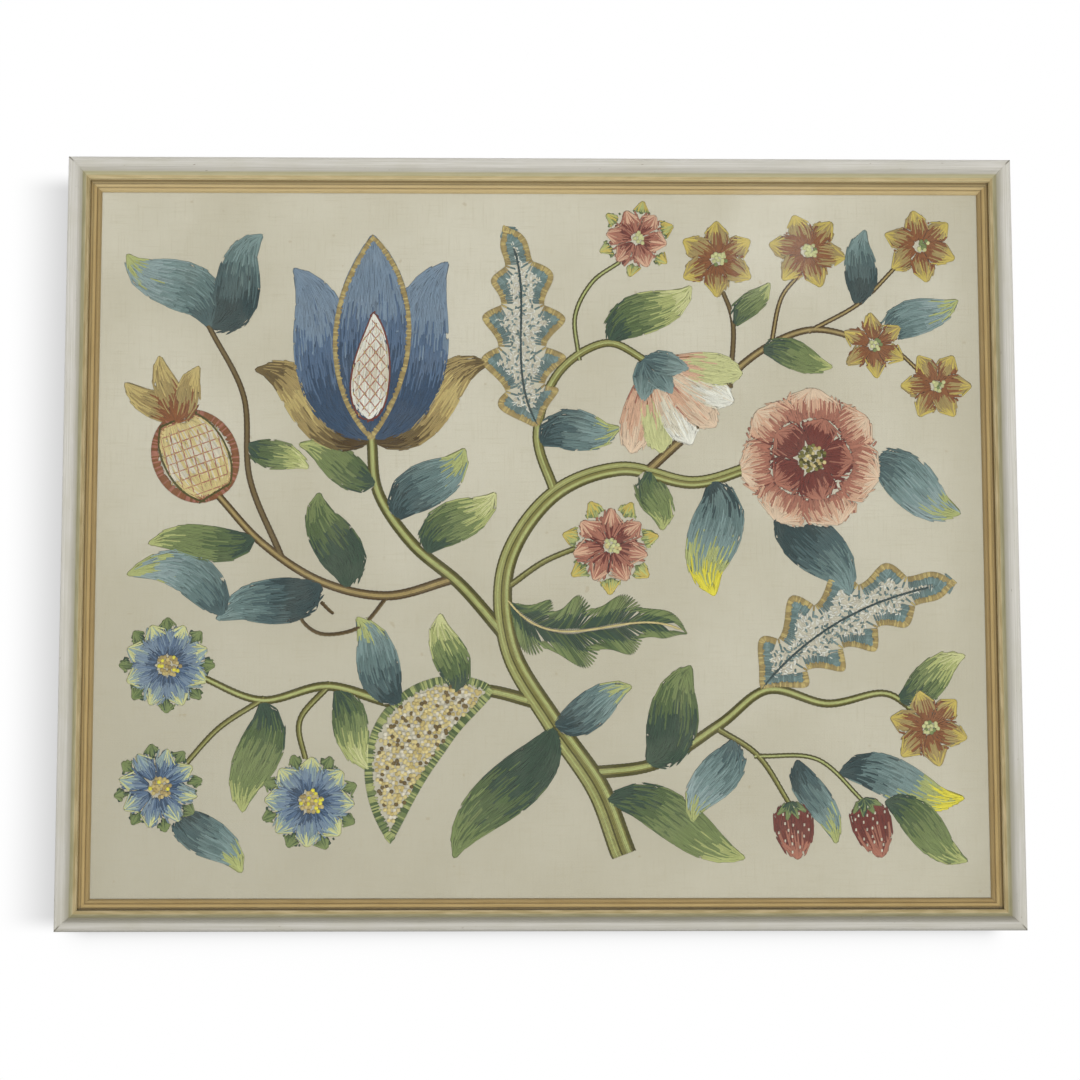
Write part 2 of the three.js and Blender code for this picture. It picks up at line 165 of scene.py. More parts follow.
BLOSSOMS = [
    Blossom((156, 48), 42, 7, 10, "rose"),
    Blossom((40, -3), 26, 7, 12, "daisy"),
    Blossom((56, 178), 21, 6, 20, "daisy"),
    Blossom((-214, -72), 27, 8, 0, "aster"),
    Blossom((-132, -150), 28, 8, 20, "aster"),
    Blossom((-218, -142), 25, 8, 10, "aster"),
    Blossom((103, 166), 22, 6, 0, "star"),
    Blossom((156, 171), 22, 6, 20, "star"),
    Blossom((222, 174), 21, 6, 10, "star"),
    Blossom((230, 91), 20, 6, 30, "star"),
    Blossom((194, 115), 19, 6, 5, "star"),
    Blossom((222, -108), 22, 6, 15, "star"),
]
FAN_BASE = (62, 106)
FAN_REACH = 56
FAN_HALF = 10
FAN_WIDEST = 0.7
FAN_PETALS = {-100: "fan_pink", -81.6: "fan_lime", -63.2: "fan_cream", -44.8: "fan_pink",
              -26.4: "fan_cream", -8: "fan_lime"}
FAN_CAPS = (-96, -54, -12)

# Rings of petals in each kind of blossom, as shares of its radius, and its heart of knots
Ring = namedtuple("Ring", "inner outer half dress turn between ends widest count",
                  defaults=(0, False, ROUND, 0.6, None))
BLOSSOM_KINDS = {
    "rose": ([Ring(0.3, 1.0, 0.98, "rose"), Ring(0.12, 0.6, 0.72, "rose_heart", turn=24, count=5)],
             0.2, ("gold", "straw", "olive", "moss")),
    "aster": ([Ring(0.45, 1.02, 0.7, "calyx", between=True, ends=POINTED), Ring(0.16, 0.92, 0.78, "aster")],
              0.26, ("gold", "yellow", "ochre")),
    "star": ([Ring(0.04, 1.04, 0.76, "star", ends=POINTED, widest=0.46)],
             0.22, ("pale_lime", "leaf", "pale_lime")),
    "daisy": ([Ring(0.3, 1.1, 0.6, "daisy_calyx", between=True, ends=POINTED, widest=0.5),
               Ring(0.1, 0.86, 0.78, "daisy")],
              0.2, ("pale_lime", "straw", "pale_lime")),
}

# Wool, as sRGB
WOOLS = {
    "navy": "#384d4f", "deep_teal": "#52696b", "teal": "#6e8685", "slate": "#859c9b", "sky": "#9aadae",
    "forest": "#3f5544", "fern": "#5e7147", "leaf": "#81905b", "lime": "#b8be7c", "pale_lime": "#d3d49a",
    "yellow": "#ebdf49", "olive": "#565222", "moss": "#858044", "stalk": "#a3a264", "bark": "#77643d",
    "brown": "#54401d", "ochre": "#b09a64", "mustard": "#d2bd63", "gold": "#ceb97a", "straw": "#dfcd92",
    "royal": "#3c5470", "blue": "#5d7593", "aster": "#8094a9", "rust": "#925d38", "rose": "#b47864",
    "crimson": "#7b3d34", "peach": "#deb498", "blush": "#e7cdb3", "cream": "#e4dcc9", "white": "#f1efe5",
}
ZONES = {
    "navy": ("navy", "navy", "deep_teal", "teal", "slate"),
    "teal": ("navy", "deep_teal", "teal", "slate", "lime"),
    "turnover": ("deep_teal", "teal", "slate", "sky", "lime"),
    "yellow_tip": ("navy", "teal", "slate", "lime", "yellow"),
    "forest": ("forest", "forest", "fern", "leaf"),
    "lime": ("forest", "fern", "leaf", "lime", "pale_lime"),
    "sage": ("forest", "fern", "leaf", "leaf", "lime"),
    "sepal": ("brown", "bark", "ochre", "gold", "ochre", "bark"),
    "blue": ("royal", "royal", "blue", "aster", "aster"),
    "lined": ("royal", "royal", "blue", "aster", "aster"),
    "crown": ("rust", "ochre", "gold"),
    "berry": ("crimson", "crimson", "rose"),
    "rose": ("crimson", "rose", "rose", "peach", "blush"),
    "rose_heart": ("crimson", "crimson", "rose"),
    "aster": ("royal", "blue", "aster", "sky", "pale_lime"),
    "calyx": ("forest", "fern", "leaf"),
    "daisy": ("crimson", "rose", "rose", "peach"),
    "daisy_calyx": ("fern", "leaf", "lime", "mustard"),
    "star": ("rust", "rust", "ochre", "mustard"),
    "fan_pink": ("rose", "peach", "blush"),
    "fan_cream": ("peach", "blush", "cream", "white"),
    "fan_lime": ("rust", "peach", "pale_lime", "pale_lime"),
    "fan_cap": ("deep_teal", "teal", "slate"),
}

# Strand and stitch sizes
STRAND = 1.15
STRAND_HEIGHT = 0.62
PITCH = 0.88
RUN = 8.0
OVERLAP = 1.6
TUCK = 1.6
SHORTEST = 1.2
SEED_LENGTH = 2.6
KNOT_SIZE = 2.5
KNOT_HEIGHT = 1.2
TONE_JITTER = 0.06
ZONE_FEATHER = 0.35
ROW_SHIFT = 0.15
ROW_STAGGER = 0.4
ROW_LIFT = 0.12
UNDERLAY_WIDTH = 2.3
UNDERLAY_PITCH = 1.7
UNDERLAY_SHARE = 0.9
UNDERLAY_DROP = 0.22
ROPE_RUN = 5.0
ROPE_STEP = 0.52
ROPE_LEAN = 0.28
ROPE_PITCH = 1.05
LAID_WIDTH = 0.7 * STRAND
TIE_HALF = 1.1
FISHBONE_PITCH = PITCH * 1.35
FISHBONE_JOINT = (0.45, 0.62)
FISHBONE_LAP = 0.1
SATIN_REACH = (0.82, 1.18)
SCATTER = 0.32
PETAL_SWAY = 0.6


# Node trees

class Signal:
    """An output in a node tree. Arithmetic on it adds Math nodes."""

    def __init__(self, tree, socket):
        self.tree = tree
        self.socket = socket

    def math(self, operation, *values):
        return self.tree.node("ShaderNodeMath", {"operation": operation}, dict(enumerate(values)))

    def __add__(self, other):
        return self.math("ADD", self, other)

    def __sub__(self, other):
        return self.math("SUBTRACT", self, other)

    def __rsub__(self, other):
        return self.math("SUBTRACT", other, self)

    def __mul__(self, other):
        return self.math("MULTIPLY", self, other)

    __radd__ = __add__
    __rmul__ = __mul__

    def rise(self, low, high):
        """0 below low, 1 above high, and a smooth step between."""
        return self.tree.node(
            "ShaderNodeMapRange", {"interpolation_type": "SMOOTHSTEP"},
            {"Value": self, "From Min": low, "From Max": high})


class Tree:
    """A node tree with one way to add any node."""

    def __init__(self, tree):
        self.tree = tree

    def node(self, kind, settings=None, sockets=None, out=0):
        made = self.tree.nodes.new(kind)
        for name, value in (settings or {}).items():
            setattr(made, name, value)
        for key, value in (sockets or {}).items():
            if isinstance(value, Signal):
                self.tree.links.new(value.socket, made.inputs[key])
            else:
                made.inputs[key].default_value = value
        return Signal(self, made.outputs[out]) if made.outputs else None

    def ray(self, kind):
        return self.node("ShaderNodeLightPath", out=f"Is {kind} Ray")


class Finish(Tree):
    """A material built from nodes. Colours are signals or sRGB hex codes."""

    def __init__(self, name):
        self.material = bpy.data.materials.new(name)
        self.material.use_nodes = True
        super().__init__(self.material.node_tree)
        self.tree.nodes.clear()

    def mix(self, share, first, second):
        first, second = ((*linear(c), 1.0) if isinstance(c, str) else c for c in (first, second))
        return self.node("ShaderNodeMix", {"data_type": "RGBA"}, {0: share, 6: first, 7: second}, out=2)

    def layered(self, colour, layers):
        """A colour with others laid over it in turn, each by its share."""
        for share, over in layers:
            colour = self.mix(share, colour, over)
        return colour

    def place(self):
        return self.node("ShaderNodeTexCoord", out="Object")

    def value(self, name, out="Fac"):
        return self.node("ShaderNodeAttribute", {"attribute_name": name}, out=out)

    def parts(self, vector):
        """The three parts of a vector."""
        split = self.node("ShaderNodeSeparateXYZ", None, {0: vector})
        return [Signal(self, socket) for socket in split.socket.node.outputs]

    def noise(self, vector, scale, detail):
        return self.node("ShaderNodeTexNoise", None, {"Vector": vector, "Scale": scale, "Detail": detail})

    def grain(self, vector, stretch, detail):
        """Noise with its own scale along each part of a vector."""
        scaled = self.node("ShaderNodeVectorMath", {"operation": "MULTIPLY"}, {0: vector, 1: stretch})
        return self.noise(scaled, 1.0, detail)

    def bump(self, height, depth, strength=1.0):
        return self.node("ShaderNodeBump", None, {"Height": height, "Distance": depth, "Strength": strength})

    def surface(self, sockets):
        return self.close(self.node("ShaderNodeBsdfPrincipled", None, sockets))

    def blend(self, share, first, second):
        return self.close(self.node("ShaderNodeMixShader", None, {0: share, 1: first, 2: second}))

    def close(self, shader):
        self.node("ShaderNodeOutputMaterial", None, {"Surface": shader})
        return self.material


def linear(code):
    """Linear colour of an sRGB hex code."""
    channels = [int(code[i:i + 2], 16) / 255 for i in (1, 3, 5)]
    return [c / 12.92 if c <= 0.04045 else ((c + 0.055) / 1.055) ** 2.4 for c in channels]


# Meshes

def new_piece(name, mesh, finish):
    piece = bpy.data.objects.new(name, mesh)
    bpy.context.scene.collection.objects.link(piece)
    mesh.materials.clear()
    mesh.materials.append(finish)
    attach(piece, "root")
    return piece


def add_values(mesh, name, kind, values):
    layer = mesh.attributes.new(name, kind, "POINT")
    key = {"FLOAT": "value", "FLOAT_VECTOR": "vector", "FLOAT_COLOR": "color"}[kind]
    layer.data.foreach_set(key, np.asarray(values, dtype=np.float32).ravel())


def smooth_mesh(name, points, faces, crease):
    """A mesh that is smooth up to an angle in degrees."""
    mesh = bpy.data.meshes.new(name)
    mesh.from_pydata(points.tolist(), [], faces)
    mesh.shade_smooth()
    mesh.set_sharp_from_angle(angle=math.radians(crease))
    return mesh


# Moulding and slip: across counts in mm from the outer edge, depth in mm from the wall

RAIL_BACK = 6
RAIL_CREASE = 38
BACK_EASE = 0.4
LIP = 12.0
LIP_RADIUS = 0.95
LIP_DEPTH = 14.6
CREST = 3.4
CREST_DEPTH = 18.7
CREST_RISE = 3.0
SIDE_EASE = 0.8
COVE = 9.9
COVE_DEPTH = 15.2
FALL_LEAN = 1.3
SLIP_BACK = 7.6
SLIP_FLAT = 8.8
SLIP_BEADS = [(14.4, 1.3, 1.1, 10), (16.8, 1.1, 0.8, 8)]
QUIRK = (15.7, SLIP_FLAT - 0.1)
LEDGE_DEPTH = 12.5
SIGHT = 18.4
SIGHT_DROP = 0.5
REBATE = 6.3
MITRE_GAP = 0.06
SIDES = [("bottom", WIDTH, HEIGHT / 2, 0), ("right", HEIGHT, WIDTH / 2, -90),
         ("top", WIDTH, HEIGHT / 2, 180), ("left", HEIGHT, WIDTH / 2, 90)]

# A side's turn in degrees tells the top rail, and with its sign changed the right rail, from the others, for
# painted light and shade that differ by rail
TOP_RAIL = (100, 170)
RIGHT_RAIL = (20, 80)


def arc(middle, radii, start, end, steps):
    """Points of an elliptical arc between two angles in degrees."""
    angles = np.radians(np.linspace(start, end, steps + 1))
    return [(middle[0] + radii[0] * math.cos(a), middle[1] + radii[1] * math.sin(a)) for a in angles]


def rail_section():
    """Section of the cream moulding: a round crest, a smooth fall to the cove, a lip and a rebate."""
    drop = CREST_DEPTH + CREST_RISE - COVE_DEPTH
    fall = [(CREST + (COVE - CREST) * u, COVE_DEPTH + drop * (1 + math.cos(math.pi * u ** FALL_LEAN)) / 2)
            for u in np.linspace(0.06, 1.0, 18)]
    return [
        (0.0, BACK_EASE), (0.0, CREST_DEPTH - SIDE_EASE),
        *arc((CREST, CREST_DEPTH), (CREST, CREST_RISE), 178, 90, 9),
        *fall,
        *arc((LIP - LIP_RADIUS, LIP_DEPTH), (LIP_RADIUS, LIP_RADIUS), 140, 0, 8),
        (LIP, LEDGE_DEPTH), (RAIL_BACK, LEDGE_DEPTH), (RAIL_BACK, 0.0), (BACK_EASE, 0.0),
    ]


def slip_section():
    """Section of the gilt slip: a flat and two low beads that fall to a thin sight edge."""
    outer, inner = [arc((middle, SLIP_FLAT), (half, rise), 174, 6, steps)
                    for middle, half, rise, steps in SLIP_BEADS]
    flat_end = SLIP_BEADS[0][0] - SLIP_BEADS[0][1]
    return [
        (REBATE, SLIP_BACK), (REBATE, SLIP_FLAT), (flat_end, SLIP_FLAT), *outer, QUIRK, *inner,
        (SIGHT, SLIP_FLAT - SIGHT_DROP), (SIGHT, SLIP_BACK),
    ]


def mitred_side(name, section, length, reach, turn, finish):
    """One side of a border, mitred at both ends, turned to its place round the panel's middle."""
    count = len(section)
    across, depth = np.array(section).T
    angle = math.radians(turn)
    girth = np.concatenate([[0], np.cumsum(np.hypot(np.diff(across), np.diff(depth)))])
    z = across - reach
    points, runs = [], []
    for end in (-1, 1):
        x = end * (length / 2 - across - MITRE_GAP / math.sqrt(2))
        points.append(np.stack([x * math.cos(angle) + z * math.sin(angle), -depth,
                                z * math.cos(angle) - x * math.sin(angle)], axis=1))
        runs.append(np.stack([x, girth, np.full(count, float(turn))], axis=1))
    points = np.concatenate(points) * MM
    points[:, 2] += CENTRE_Z
    ring = list(range(count))
    faces = [(k, n, count + n, count + k) for k, n in zip(ring, ring[1:] + ring[:1])]
    faces += [tuple(ring[::-1]), tuple(range(count, 2 * count))]
    mesh = smooth_mesh(name, points, faces, RAIL_CREASE)
    add_values(mesh, "across", "FLOAT", np.tile(across, 2))
    add_values(mesh, "depth", "FLOAT", np.tile(depth, 2))
    add_values(mesh, "run", "FLOAT_VECTOR", np.concatenate(runs))
    add_values(mesh, "half", "FLOAT", np.full(2 * count, length / 2))
    return new_piece(name, mesh, finish)


def border(prefix, node, section, finish):
    for side, length, reach, turn in SIDES:
        piece = mitred_side(f"{prefix}_{side}", section, length, reach, turn, finish)
        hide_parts(f"{node}_{side}")


def cream_finish():
    """Aged cream paint, brushed along the moulding, with a toned cove, a gilt lip and a bare wooden back, and
    painted light and shade by which way each part faces and how low it lies.
    """
    f = Finish("cream_paint")
    across, depth, run = f.value("across"), f.value("depth"), f.value("run", "Vector")
    along, _, turn = f.parts(run)
    up = f.parts(f.node("ShaderNodeNewGeometry", out="Normal"))[2]
    lit_from_below = (up * -1).rise(0.2, 0.7)
    low = (f.parts(f.place())[2] * -1).rise(0.1, 0.44)
    brush = f.grain(run, (0.02, 1.6, 1.0), 4.0)
    cloud = f.grain(run, (0.03, 0.05, 1.0), 3.0)
    fleck = f.grain(run, (0.28, 0.9, 1.0), 2.0)
    grime = f.grain(run, (0.06, 0.5, 1.0), 5.0)
    cream = f.layered(f.mix(brush.rise(0.35, 0.7), "#c3c0b7", "#d3d0ca"), [
        (cloud.rise(0.4, 0.75) * 0.4, "#bab6a3"),
        # The fall to the cove, toned darker in the paint, with painted light where it faces down
        (across.rise(5.5, 8.0) * (0.5 - lit_from_below * 0.45), "#a9a48b"),
        # Painted shade where it faces up, by the crest
        (up.rise(0.1, 0.6) * across.rise(3.2, 5.6) * 0.4, "#7d7966"),
        # Painted shade, darker towards the bottom
        (low * 0.2, "#8f8b7d"),
        # The outer edge, with a painted highlight where it faces up, and painted shade on the crest's
        # underside
        ((1 - across.rise(0.0, 2.4)) * up.rise(-0.6, 0.5) * 0.3, "#f3f1e8"),
        ((1 - across.rise(2.4, 4.6)) * (up * -1).rise(-0.1, 0.5) * 0.1, "#8f8b7d"),
        (fleck.rise(0.72, 0.78) * 0.75, "#6d5a3e"),
    ])
    # The cove paler where it faces down: painted light from below
    cove = f.mix(lit_from_below * 0.6, f.mix(grime.rise(0.3, 0.7), "#989373", "#a8a283"), "#c4be9c")
    # The gilt lip paler on the top rail: painted light
    gilt = f.mix(turn.rise(*TOP_RAIL) * 0.4, f.mix(grime.rise(0.35, 0.7), "#9e8e66", "#b8a782"), "#d8c79a")
    wood = f.mix(brush.rise(0.3, 0.7), "#8b6a45", "#b08d61")
    hidden = (1 - depth.rise(0.2, 0.7)) + across.rise(5.5, 5.9) * (1 - depth.rise(12.6, 12.8))
    seam = f.value("half") - across - along.math("ABSOLUTE", along)
    colour = f.layered(cream, [
        (across.rise(7.5, 8.4), cove),
        (across.rise(9.4, 10.3), gilt),
        # The lip's inner face lit pale: painted light
        (across.rise(11.5, 11.9) * (1 - depth.rise(14.0, 15.0)), "#f0dfae"),
        (hidden, wood),
        # A dark tick where the mitre opens at the outer corner
        ((1 - seam.rise(0.2, 0.8)) * (1 - across.rise(2.2, 3.8)) * 0.8, "#6f6a5c"),
    ])
    gloss = 0.62 - across.rise(9.8, 10.3) * 0.2 + brush * 0.12
    height = brush * 0.5 + fleck.rise(0.72, 0.8) * -0.6
    return f.surface({"Base Color": colour, "Roughness": gloss, "Normal": f.bump(height, 0.15 * MM)})


def gilt_finish():
    """Dull gilt, painted dark at its flat and its quirk as shade, paler on the top rail as painted light, and
    darker on the other rails and their inner bead as painted shade.
    """
    f = Finish("gilt")
    across, run = f.value("across"), f.value("run", "Vector")
    turn = f.parts(run)[2]
    top, right = turn.rise(*TOP_RAIL), (turn * -1).rise(*RIGHT_RAIL)
    brush = f.grain(run, (0.03, 2.0, 1.0), 4.0)
    cloud = f.grain(run, (0.05, 0.1, 1.0), 3.0)
    flat = 1 - across.rise(12.2, 12.9)
    quirk = across.rise(15.3, 15.6) * (1 - across.rise(15.8, 16.1))
    inner_bead_shade = across.rise(15.6, 16.1) * ((1 - top) * 0.24 + right * 0.1)
    colour = f.layered(f.mix(brush.rise(0.3, 0.7), "#c2a367", "#d5b97f"), [
        (cloud.rise(0.45, 0.8) * 0.5, "#b99a5f"),
        # Painted light on the top rail
        (top * 0.4, "#e0cda2"),
        # Painted shade under the lip at the flat, in the quirk, on every rail but the top, and on the inner
        # bead of those rails, most on the right
        (flat * 0.5 + quirk * 0.15 + (1 - top) * 0.1 + inner_bead_shade, "#5e4522"),
    ])
    return f.surface({
        "Base Color": colour, "Metallic": 0.15, "Roughness": 0.5 + brush * 0.16,
        "Normal": f.bump(brush, 0.08 * MM)})


# Linen

WEAVE_PITCH = 0.78 * MM
WEAVE_WANDER = 5.0
PUCKER = 0.05 * MM
PUCKER_WAVES = (61, 73, 131, 97)
LINEN_CELLS = (90, 72)
LINEN_CREASE = 40


def linen_finish():
    """Plain-weave natural linen with slubs, a soft mottle, a few age spots, and painted shade towards the
    bottom left and along the right edge.
    """
    f = Finish("linen")
    place = f.place()
    x, _, z = f.parts(place)
    wander = f.grain(place, (60.0, 1.0, 60.0), 2.0) * WEAVE_WANDER
    warp, weft = (way * (2 * math.pi / WEAVE_PITCH) + wander for way in (x, z))
    weave = warp.math("SINE", warp) * weft.math("SINE", weft)
    slub_x = f.grain(place, (55.0, 1.0, 1300.0), 2.0)
    slub_z = f.grain(place, (1300.0, 1.0, 55.0), 2.0)
    cloud = f.noise(place, 9.0, 4.0)
    spot = f.noise(place, 170.0, 1.0)
    # Painted shade: darker towards the bottom, most at the bottom left, and in a strip along the right edge
    low, left, right = (z * -1).rise(0.08, 0.42), (x * -1).rise(-0.25, 0.25), x.rise(0.225, 0.258)
    colour = f.layered(f.mix(cloud.rise(0.3, 0.7), "#d1cab6", "#dfd9c8"), [
        (low * (0.25 + left * 0.35) + right * 0.25, "#b5ae9a"),
        ((slub_x.rise(0.5, 0.75) + slub_z.rise(0.5, 0.75)) * 0.22, "#bdb295"),
        (weave.rise(0.1, 0.9) * 0.14, "#b3a88c"),
        (spot.rise(0.76, 0.82) * 0.3, "#b09a70"),
    ])
    height = weave * 0.5 + slub_x * 0.5 + slub_z * 0.5
    return f.surface({
        "Base Color": colour, "Roughness": 0.95, "Specular IOR Level": 0.2, "Sheen Weight": 0.06,
        "Normal": f.bump(height, 0.16 * MM, 0.8)})


def linen_sheet(finish):
    """The stretched sheet: a closed slab whose face has a faint pucker."""
    columns, rows = LINEN_CELLS
    xs = np.linspace(LINEN_LOW[0], LINEN_HIGH[0], columns + 1)
    zs = np.linspace(LINEN_LOW[2], LINEN_HIGH[2], rows + 1)
    grid_x, grid_z = np.meshgrid(xs, zs)
    a, b, c, d = PUCKER_WAVES
    pucker = PUCKER * (np.sin(grid_x * a) * np.sin(grid_z * b) + np.sin(grid_x * c + grid_z * d))
    edge = (grid_x == xs[0]) | (grid_x == xs[-1]) | (grid_z == zs[0]) | (grid_z == zs[-1])
    front = np.stack([grid_x, LINEN_FACE_Y + np.where(edge, 0, pucker), grid_z], axis=-1).reshape(-1, 3)
    back = np.stack([grid_x, np.full_like(grid_x, LINEN_HIGH[1]), grid_z], axis=-1).reshape(-1, 3)
    wide = columns + 1
    count = len(front)
    corners = [r * wide + c for r in range(rows) for c in range(columns)]
    faces = [(a, a + 1, a + wide + 1, a + wide) for a in corners]
    faces += [tuple(count + i for i in reversed(face)) for face in faces]
    rim = [*range(columns), *range(columns, count - 1, wide), *range(count - 1, count - wide, -1),
           *range(count - wide, 0, -wide)]
    faces += [(b, a, count + a, count + b) for a, b in zip(rim, rim[1:] + rim[:1])]
    mesh = smooth_mesh("linen_ground", np.concatenate([front, back]), faces, LINEN_CREASE)
    return new_piece("linen_ground", mesh, finish)


# Needlework geometry, in mm on the linen

def unit(vector):
    return vector / max(1e-9, float(np.hypot(*vector)))


def left_of(vector):
    return np.array([-vector[1], vector[0]])


def heading(degrees):
    return np.array([math.cos(math.radians(degrees)), math.sin(math.radians(degrees))])


def closed(outline):
    return np.vstack([outline, outline[:1]])


def inside(points, outline):
    """Which points lie inside a closed outline."""
    x, y = points[:, 0:1], points[:, 1:2]
    ax, ay = outline[:, 0], outline[:, 1]
    bx, by = np.roll(ax, -1), np.roll(ay, -1)
    crosses = (ay > y) != (by > y)
    run = np.where(by == ay, 1e-9, by - ay)
    return (crosses & (x < (bx - ax) * (y - ay) / run + ax)).sum(axis=1) % 2 == 1


def edge_distance(points, outline, step):
    """Distance from each point to the nearest of places set along a closed outline."""
    places, _ = along_path(closed(outline), step)
    apart = points[:, None, :] - places[None, :, :]
    return np.sqrt((apart ** 2).sum(axis=2)).min(axis=1)


def along_path(path, step):
    """Evenly spaced places on a path with the unit direction at each."""
    legs = np.hypot(*np.diff(path, axis=0).T)
    reach = np.concatenate([[0], np.cumsum(legs)])
    count = max(2, int(round(reach[-1] / step)) + 1)
    at = np.linspace(0, reach[-1], count)
    places = np.stack([np.interp(at, reach, path[:, 0]), np.interp(at, reach, path[:, 1])], axis=1)
    ahead = np.gradient(places, axis=0)
    return places, ahead / np.maximum(1e-9, np.hypot(*ahead.T))[:, None]


def smooth_route(route, steps=14):
    """A curve through the route's points."""
    p = np.array(route, dtype=float)
    p = np.vstack([2 * p[0] - p[1], p, 2 * p[-1] - p[-2]])
    t = np.linspace(0, 1, steps, endpoint=False)[:, None]
    legs = []
    for a, b, c, d in zip(p[:-3], p[1:-2], p[2:-1], p[3:]):
        legs.append(0.5 * (2 * b + (c - a) * t + (2 * a - 5 * b + 4 * c - d) * t ** 2
                           + (3 * b - a - 3 * c + d) * t ** 3))
    return np.vstack([*legs, p[-2:-1]])


class Blade:
    """A leaf or petal: a swaying spine with a half width on each side."""

    def __init__(self, leaf):
        self.leaf = leaf
        base, tip = np.array(leaf.base, float), np.array(leaf.tip, float)
        run = tip - base
        left = unit(left_of(run))
        self.hull = (base, base + run / 3 + 2 * leaf.sway[0] * left,
                     base + 2 * run / 3 + 2 * leaf.sway[1] * left, tip)
        self.length = float(np.hypot(*np.diff(self.vein(0, 1, 25), axis=0).T).sum())

    def spine(self, t):
        a, b, c, d = self.hull
        return (1 - t) ** 3 * a + 3 * t * (1 - t) ** 2 * b + 3 * t * t * (1 - t) * c + t ** 3 * d

    def vein(self, start, end, count=40):
        return np.array([self.spine(t) for t in np.linspace(start, end, count)])

    def left(self, t):
        a, b, c, d = self.hull
        t = min(max(t, 0.01), 0.99)
        ahead = 3 * (1 - t) ** 2 * (b - a) + 6 * t * (1 - t) * (c - b) + 3 * t * t * (d - c)
        return unit(left_of(ahead))

    def share(self, t):
        t = min(max(t, 0.0), 1.0)
        leaf = self.leaf
        start = leaf.ends * leaf.widest / (1 - leaf.widest)
        full = leaf.widest ** start * (1 - leaf.widest) ** leaf.ends
        share = t ** start * (1 - t) ** leaf.ends / full
        if not leaf.lobes:
            return share
        phase = (t * leaf.lobes) % 1
        return share * (1 - LOBE_CUT + LOBE_SWELL * LOBE_CUT * math.sin(math.pi * phase ** LOBE_LEAN))

    def breadth(self, t):
        return sum(self.leaf.half) * self.share(t)

    def at(self, t, across):
        """A place on the blade: across runs from -1 at its right edge to 1 at its left."""
        half = self.leaf.half[0 if across > 0 else 1]
        return self.spine(t) + self.left(t) * (across * half * self.share(t))

    def outline(self, across=1, start=0, end=1, count=41):
        ts = np.linspace(start, end, max(count, self.leaf.lobes * 20 + 1))
        return np.array([self.at(t, across) for t in ts] + [self.at(t, -across) for t in ts[::-1][1:-1]])


class Motif:
    """One stitched motif: its outline and the stitches, seeds and knots that fill it."""

    def __init__(self, group, outline):
        self.group = group
        self.outline = outline
        self.stitches = []
        self.seeds = []
        self.knots = []

    def stitch(self, start, end, wool, width=STRAND, lift=0.0, loose="stitches"):
        tone = 1 + draw.gauss(0, TONE_JITTER)
        colour = [min(1.0, c * tone) for c in linear(WOOLS[wool])]
        getattr(self, loose).append((*start, *end, width, lift, *colour))

    def knot(self, place, wool):
        self.stitch(place, (place[0] + KNOT_SIZE, place[1]), wool, KNOT_SIZE, 0.0, "knots")


def zone_wool(zones, t):
    """The wool at a share of the way along, with feathered joins between zones."""
    place = t * len(zones) + draw.gauss(0, ZONE_FEATHER)
    return zones[min(max(int(place), 0), len(zones) - 1)]


def lay_rows(motif, blade, zones, span, across, width, pitch, overlap, lift):
    """Staggered rows of stitches that run along a stretch of the blade."""
    start, end = span
    rows = max(2, round(blade.length * (end - start) / RUN))
    step = (end - start) / rows
    lap = overlap / blade.length
    for row in range(rows):
        middle = start + (row + 0.5) * step
        breadth = blade.breadth(middle) * (across[1] - across[0]) / 2
        count = max(1, math.ceil(breadth / pitch))
        for k in range(count):
            shift = draw.uniform(-ROW_SHIFT, ROW_SHIFT)
            q = across[0] + (across[1] - across[0]) * (k + 0.5 + shift) / count
            stagger = draw.uniform(-ROW_STAGGER, ROW_STAGGER) * step
            first = max(start, middle - step / 2 + stagger - lap)
            last = min(end, middle + step / 2 + stagger + lap)
            wool = zone_wool(zones, (middle + stagger - start) / (end - start))
            height = lift + draw.uniform(0, ROW_LIFT)
            motif.stitch(blade.at(first, q), blade.at(last, q), wool, width, height)


def shade_lengthwise(motif, blade, zones, span=(0.0, 1.0), across=(-1.0, 1.0), lift=0.0):
    """Long-and-short shading over a padding of wider, looser stitches."""
    padding = (across[0] * UNDERLAY_SHARE, across[1] * UNDERLAY_SHARE)
    lay_rows(motif, blade, zones, span, padding, UNDERLAY_WIDTH, UNDERLAY_PITCH, 3 * OVERLAP,
             lift - UNDERLAY_DROP)
    lay_rows(motif, blade, zones, span, across, STRAND, PITCH, OVERLAP, lift)


def shade_fishbone(motif, blade, outer, inner, vein, slant=0.16):
    """Slanting stitches from a vein out to both edges, in two tones, with the vein over them."""
    step = FISHBONE_PITCH / blade.length
    for side in (1, -1):
        t = 0.03
        while t < 1.0:
            turn = draw.uniform(*FISHBONE_JOINT)
            root = max(0.0, t - slant)
            joint = root + (t - root) * turn
            past, short = side * (turn + FISHBONE_LAP), side * (turn - FISHBONE_LAP)
            motif.stitch(blade.at(root, 0.03 * side), blade.at(joint, past), draw.choice(inner))
            motif.stitch(blade.at(joint, short), blade.at(t, side * 0.98), draw.choice(outer))
            t += step
    rope(motif, blade.vein(0.0, 0.94), vein, lift=0.2)


def rope(motif, path, wool, lift=0.0):
    """One line of stem stitch: short stitches that lean across the line and overlap by half."""
    places, ahead = along_path(path, ROPE_RUN * ROPE_STEP)
    for place, way in zip(places, ahead):
        side = left_of(way) * ROPE_LEAN
        motif.stitch(place - way * ROPE_RUN / 2 - side, place + way * ROPE_RUN / 2 + side, wool, lift=lift)


